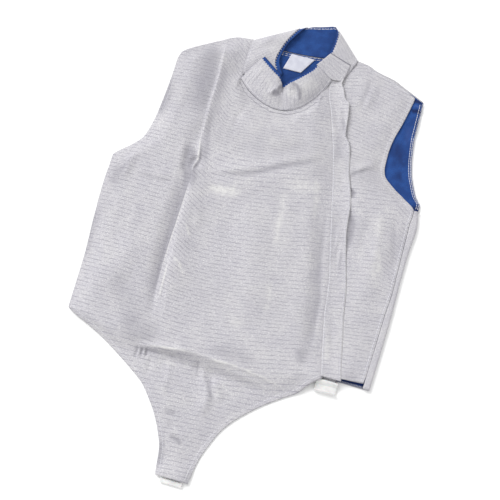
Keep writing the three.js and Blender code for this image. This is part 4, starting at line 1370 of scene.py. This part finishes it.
UP = np.array([0.0, 0.0, 1.0])
SEWN = (3.1, 2.3, 0.3, 0)
FINE = (3.1, 2.3, 0.28, 0)
NECK_SEAM = (2.6, 2.5, 0.24, 0)
SIDE_SEAM_STITCH = (4.6, 3.4, 0.45, 0)
PLACKET_STITCH = (4.4, 3.2, 0.42, 0)
ARMHOLE_STITCH = (4.4, 3.8, 0.45, 0)
ARMHOLE_EDGE = (4.4, 3.8, 0.4, 0)
LONG = (7, 5.8, 0.45, 0)
LONG_THIN = (7, 5.8, 0.4, 0)
OVERLOCK = (2.4, 2.6, 0.3, 1.1)
HEM_OVERLOCK = (2.4, 3.2, 0.3, 1.1)
COLLAR_OVERLOCK = (4.8, 3.6, 0.62, 1.1)
COLLAR_INNER = (4.8, 2.6, 0.4, 1.1)
FRONT_OVERLOCK = (4.6, 3.4, 0.6, 1.1)
COLLAR_BASE = (3.1, 2.5, 0.34, 0)
COLLAR_DARK = (2.4, 2.6, 0.26, 0)
TAB_DARK = (2.4, 2.7, 0.38, 0)


def along(points, pitch):
    """Centres and directions every pitch along a line of points."""
    lengths = np.concatenate([[0], np.cumsum(np.linalg.norm(np.diff(points, axis=0), axis=1))])
    at = np.arange(pitch / 2, lengths[-1], pitch)

    def place(where):
        return np.stack([np.interp(where, lengths, column) for column in points.T], -1)

    ahead = place(np.minimum(at + 0.5, lengths[-1])) - place(np.maximum(at - 0.5, 0))
    return place(at), ahead / np.linalg.norm(ahead, axis=1, keepdims=True)


def run(line, stitch, toward=None):
    """Points of stitches on a line, seen from above or from where the line's points look toward.

    Each stitch is a short round thread of four rings of five points.
    """
    pitch, length, radius, turn = stitch
    centre, direction = along(line, pitch)
    face = np.tile(UP, (len(centre), 1))
    if toward is not None:
        face = toward[np.argmin(np.linalg.norm(line[None] - centre[:, None], axis=2), 1)]
    direction = direction * math.cos(turn) + np.cross(face, direction) * math.sin(turn)
    side = np.cross(face, direction)
    round_it = 2 * np.pi * np.arange(5)[:, None] / 5
    ring = side[:, None] * np.cos(round_it) + face[:, None] * np.sin(round_it)
    stations = [(-0.5, 0.25), (-0.36, 1.0), (0.36, 1.0), (0.5, 0.25)]
    rings = [
        centre[:, None] + direction[:, None] * length * at + ring * radius * size
        for at, size in stations
    ]
    return np.stack(rings, 1).reshape(-1, 3)


def flat_run(path, height, stitch=SEWN):
    """Stitches along a plan path on the surface that height gives."""
    x, y = np.asarray(path, float).T
    return run(np.stack([x, y, height(x, y) + 0.05], -1), stitch)


def edge_run(grid, row, offset, stitch, first=0, last=None):
    """Stitches along one row of a collar grid, on the side that offset gives."""
    normal = normals_of(grid)[row, first:last]
    return run(grid[row, first:last] + normal * offset, stitch, np.sign(offset) * normal)


def make_threads(name, runs, parent, material=THREAD):
    """Joined stitches, each a tube that is closed at its ends."""
    points = np.concatenate(runs)
    i = np.arange(5)
    ring = np.stack([i, (i + 1) % 5, (i + 1) % 5 + 5, i + 5], -1)
    tube = np.concatenate([ring, ring + 5, ring + 10]).tolist()
    ends = [[4, 3, 2, 1, 0], [15, 16, 17, 18, 19]]
    faces = [
        [corner + first for corner in face]
        for first in range(0, len(points), 20)
        for face in tube + ends
    ]
    make_object(name, points, faces, None, material).parent = parent


def smooth_path(points):
    return curve_points(np.array(points, float), np.linspace(0, 1, 80))


def shifted(path, amount):
    """Path moved sideways in plan, to its right."""
    way = np.gradient(path, axis=0)
    way /= np.linalg.norm(way, axis=1, keepdims=True)
    return path + amount * np.stack([way[:, 1], -way[:, 0]], -1)


neck_x = np.linspace(-90, 45, 70)
neckline = np.stack([neck_x, read(NECKLINE, neck_x, "y")], -1)
make_threads("front_stitching", [
    flat_run(shifted(edge_line(FRONT, "left", -392, -191), HEM_STITCH), top_z),
    flat_run(shifted(edge_line(FRONT, "right", -392, -191), -HEM_STITCH), top_z),
    flat_run(shifted(edge_line(FRONT, "left", 78, 268), HEM_STITCH), top_z),
    flat_run([(-29, -389.5), (15, -389.5)], top_z),
], front)
make_threads("front_edging", [flat_run(shifted(neckline, 8), top_z, NECK_SEAM)], front, DARK_SEAM_AND_SHADOW)

shoulder = smooth_path([(100, 343), (130, 333), (160, 324), (188, 311), (199, 303)])
make_threads("side_stitching", [
    flat_run(shifted(edge_line(SIDE, "right", 118, 304), -HEM_STITCH), top_z),
    flat_run(edge_line(SIDE, "right", -176, 112, inset=-3.4), top_z, SIDE_SEAM_STITCH),
    flat_run(shoulder, top_z),
], side_cloth)
make_threads("placket_stitching", [
    flat_run(edge_line(PLACKET, "left", -184, 297, 200, 1.8), placket_top, PLACKET_STITCH),
    flat_run(edge_line(PLACKET, "right", -184, 297, 200, -3.2), placket_top),
], placket)

neck_seam = smooth_path([(-60, 328.8), (-27, 329.4), (-1, 331), (24, 335), (60, 339.2)])
make_threads("lining_stitching", [
    flat_run(edge_line(BACK, "right", 118, 300, 90, -5.4), lining_top, ARMHOLE_STITCH),
    flat_run(edge_line(BACK, "right", 118, 240, 90, -2.6), lining_top, ARMHOLE_EDGE),
    flat_run(edge_line(BACK, "right", 118, 303, 90, -1.3), lining_top, OVERLOCK),
    flat_run(neck_seam, lining_top, LONG),
    flat_run(shifted(neck_seam, 3.4), lining_top, LONG_THIN),
    flat_run([(150, -184.5), (236, -184.5)], lining_top, HEM_OVERLOCK),
], lining)

quarter = back_inner.shape[1] // 4
make_threads("collar_back_stitching", [
    edge_run(back_inner, 35, 0.6, COLLAR_OVERLOCK),
    edge_run(back_inner, 38, -0.5, COLLAR_INNER),
    edge_run(back_outer, -3, 0.55, FINE),
    edge_run(back_outer, 3, 0.55, FINE),
    edge_run(back_inner, -4, -0.5, LONG, quarter, -quarter),
], grey_back)
make_threads("collar_front_stitching", [
    edge_run(front_inner, 35, 0.6, FRONT_OVERLOCK),
    edge_run(front_outer, 3, 0.55, FINE),
    edge_run(front_outer, 0, 0.35, COLLAR_BASE, 52),
], grey_front)
lifted = tab_grid + (0, 0, 0.45)
# Dark thread along the tab's end, which stands for its dark edge and the shadow beside it
make_threads("tab_dark_edge_and_shadow", [run(lifted[:, -1], TAB_DARK)], tab, DARK_SEAM_AND_SHADOW)
make_threads("tab_stitching", [run(lifted[2:-2, 1], FINE)], tab)
# Dark thread along the front collar's base, which stands for its seam and the shadow under it
dark_base = [edge_run(front_outer, 0, 0.35, COLLAR_DARK, 0, 54)]
make_threads("collar_front_dark_base_and_shadow", dark_base, grey_front, DARK_SEAM_AND_SHADOW)

# Strap, loop, hook and ring


def make_webbing(name, fitting, strap):
    """A band from its sewn end round the bar and back on itself."""
    y, z = fitting["axis_y"], fitting["axis_z"]
    radius = fitting["bar"] + GAP + WEBBING / 2
    level = y + radius + 2.5
    straight = np.linspace(strap["end_y"], level, 20)
    low, high = strap["end_z"] + WEBBING / 2, strap["end_z"] + WEBBING * 1.5
    round_bar = arc(y, z, radius, np.radians(np.linspace(-20, -340, 36)))
    below = [(at, low) for at in straight]
    path = np.array([*below, *round_bar, *[(at, high) for at in straight[::-1]]])
    width = np.linspace(-0.5, 0.5, 25) * strap["width"]
    middle = np.empty((len(path), len(width), 3))
    middle[..., 0] = fitting["x"] + width
    middle[..., 1:] = path[:, None]
    return make_shell(name, middle, WEBBING * 0.92, lengths_uv(middle), WEB)


def arc(y, z, radius, angles):
    return [(y + radius * math.cos(angle), z + radius * math.sin(angle)) for angle in angles]


def make_fitting(name, size, outlines, arm):
    """Moulded piece of (y, z) outlines, two arms and a bar, all drawn out along x and rounded."""
    y, z, width = size["axis_y"], size["axis_z"], size["width"]
    bar = arc(y, z, size["bar"], [2 * math.pi * step / 24 for step in range(24)])
    side = (width - size["arm"]) / 2
    prisms = [(outline, 0, width) for outline in outlines]
    prisms += [(arm, -side, size["arm"]), (arm, side, size["arm"]), (bar, 0, width - 1)]
    points, faces = [], []
    for outline, shift, depth in prisms:
        first, count = len(points), len(outline)
        ring = [first + i for i in range(count)]
        after = ring[1:] + ring[:1]
        faces += [[a, b, b + count, a + count] for a, b in zip(ring, after)]
        faces += [ring[::-1], [corner + count for corner in ring]]
        for end in (-depth / 2, depth / 2):
            points += [(size["x"] + shift + end, *corner) for corner in outline]
    made = make_object(name, points, faces, None, PLASTIC)
    rounded = made.modifiers.new("rounded", "BEVEL")
    rounded.width = 0.5 * MM
    rounded.segments = 3
    rounded.limit_method = "ANGLE"
    rounded.angle_limit = math.radians(40)
    return made


def make_hook():
    y, z, bar = HOOK["axis_y"], HOOK["axis_z"], HOOK["bar"]
    start, low, high = HOOK["plate_y"], HOOK["plate_z"], HOOK["plate_z"] + HOOK["plate"]
    curl, half = HOOK["curl"], HOOK["plate"] / 2
    centre = HOOK["lip_y"] + curl - 1, curl + half + 0.2
    angles = [-math.pi / 2 - math.pi * HOOK["turn"] * step / 14 for step in range(15)]
    outer, inner = arc(*centre, curl + half, angles), arc(*centre, curl - half, angles[::-1])
    lip = [(start, low), *outer, *inner, (start, high)]
    arm = [(y + bar, z - bar), (y + bar, z + bar), (start - 1, high), (start - 1, low)]
    over = [math.radians(angle) for angle in range(75, 161, 17)]
    reach = bar + GAP + WEBBING + 0.2
    cover = arc(y, z, reach, over) + [(start - 1, low), (start - 1, high)]
    cover += arc(y, z, reach + 0.9, over[-2::-1])
    return make_fitting("plastic_hook", HOOK, [lip, cover], arm)


def block(first, last, low, high):
    return [(first, low), (last, low), (last, high), (first, high)]


def make_ring():
    low, high = (RING["axis_z"] + side * RING["thickness"] / 2 for side in (-1, 1))
    outer = block(RING["end_y"], RING["outer_y"], low, high)
    arm = block(RING["outer_y"] - 1, RING["axis_y"] + RING["bar"], low, high)
    return make_fitting("plastic_ring", RING, [outer], arm)


add_piece(make_webbing("webbing_strap", HOOK, STRAP), "back_strap")
add_piece(make_webbing("webbing_loop", RING, LOOP), "tongue_loop")
add_piece(make_hook(), "strap_hook", "hook")
add_piece(make_ring(), "tongue_ring", "ring")
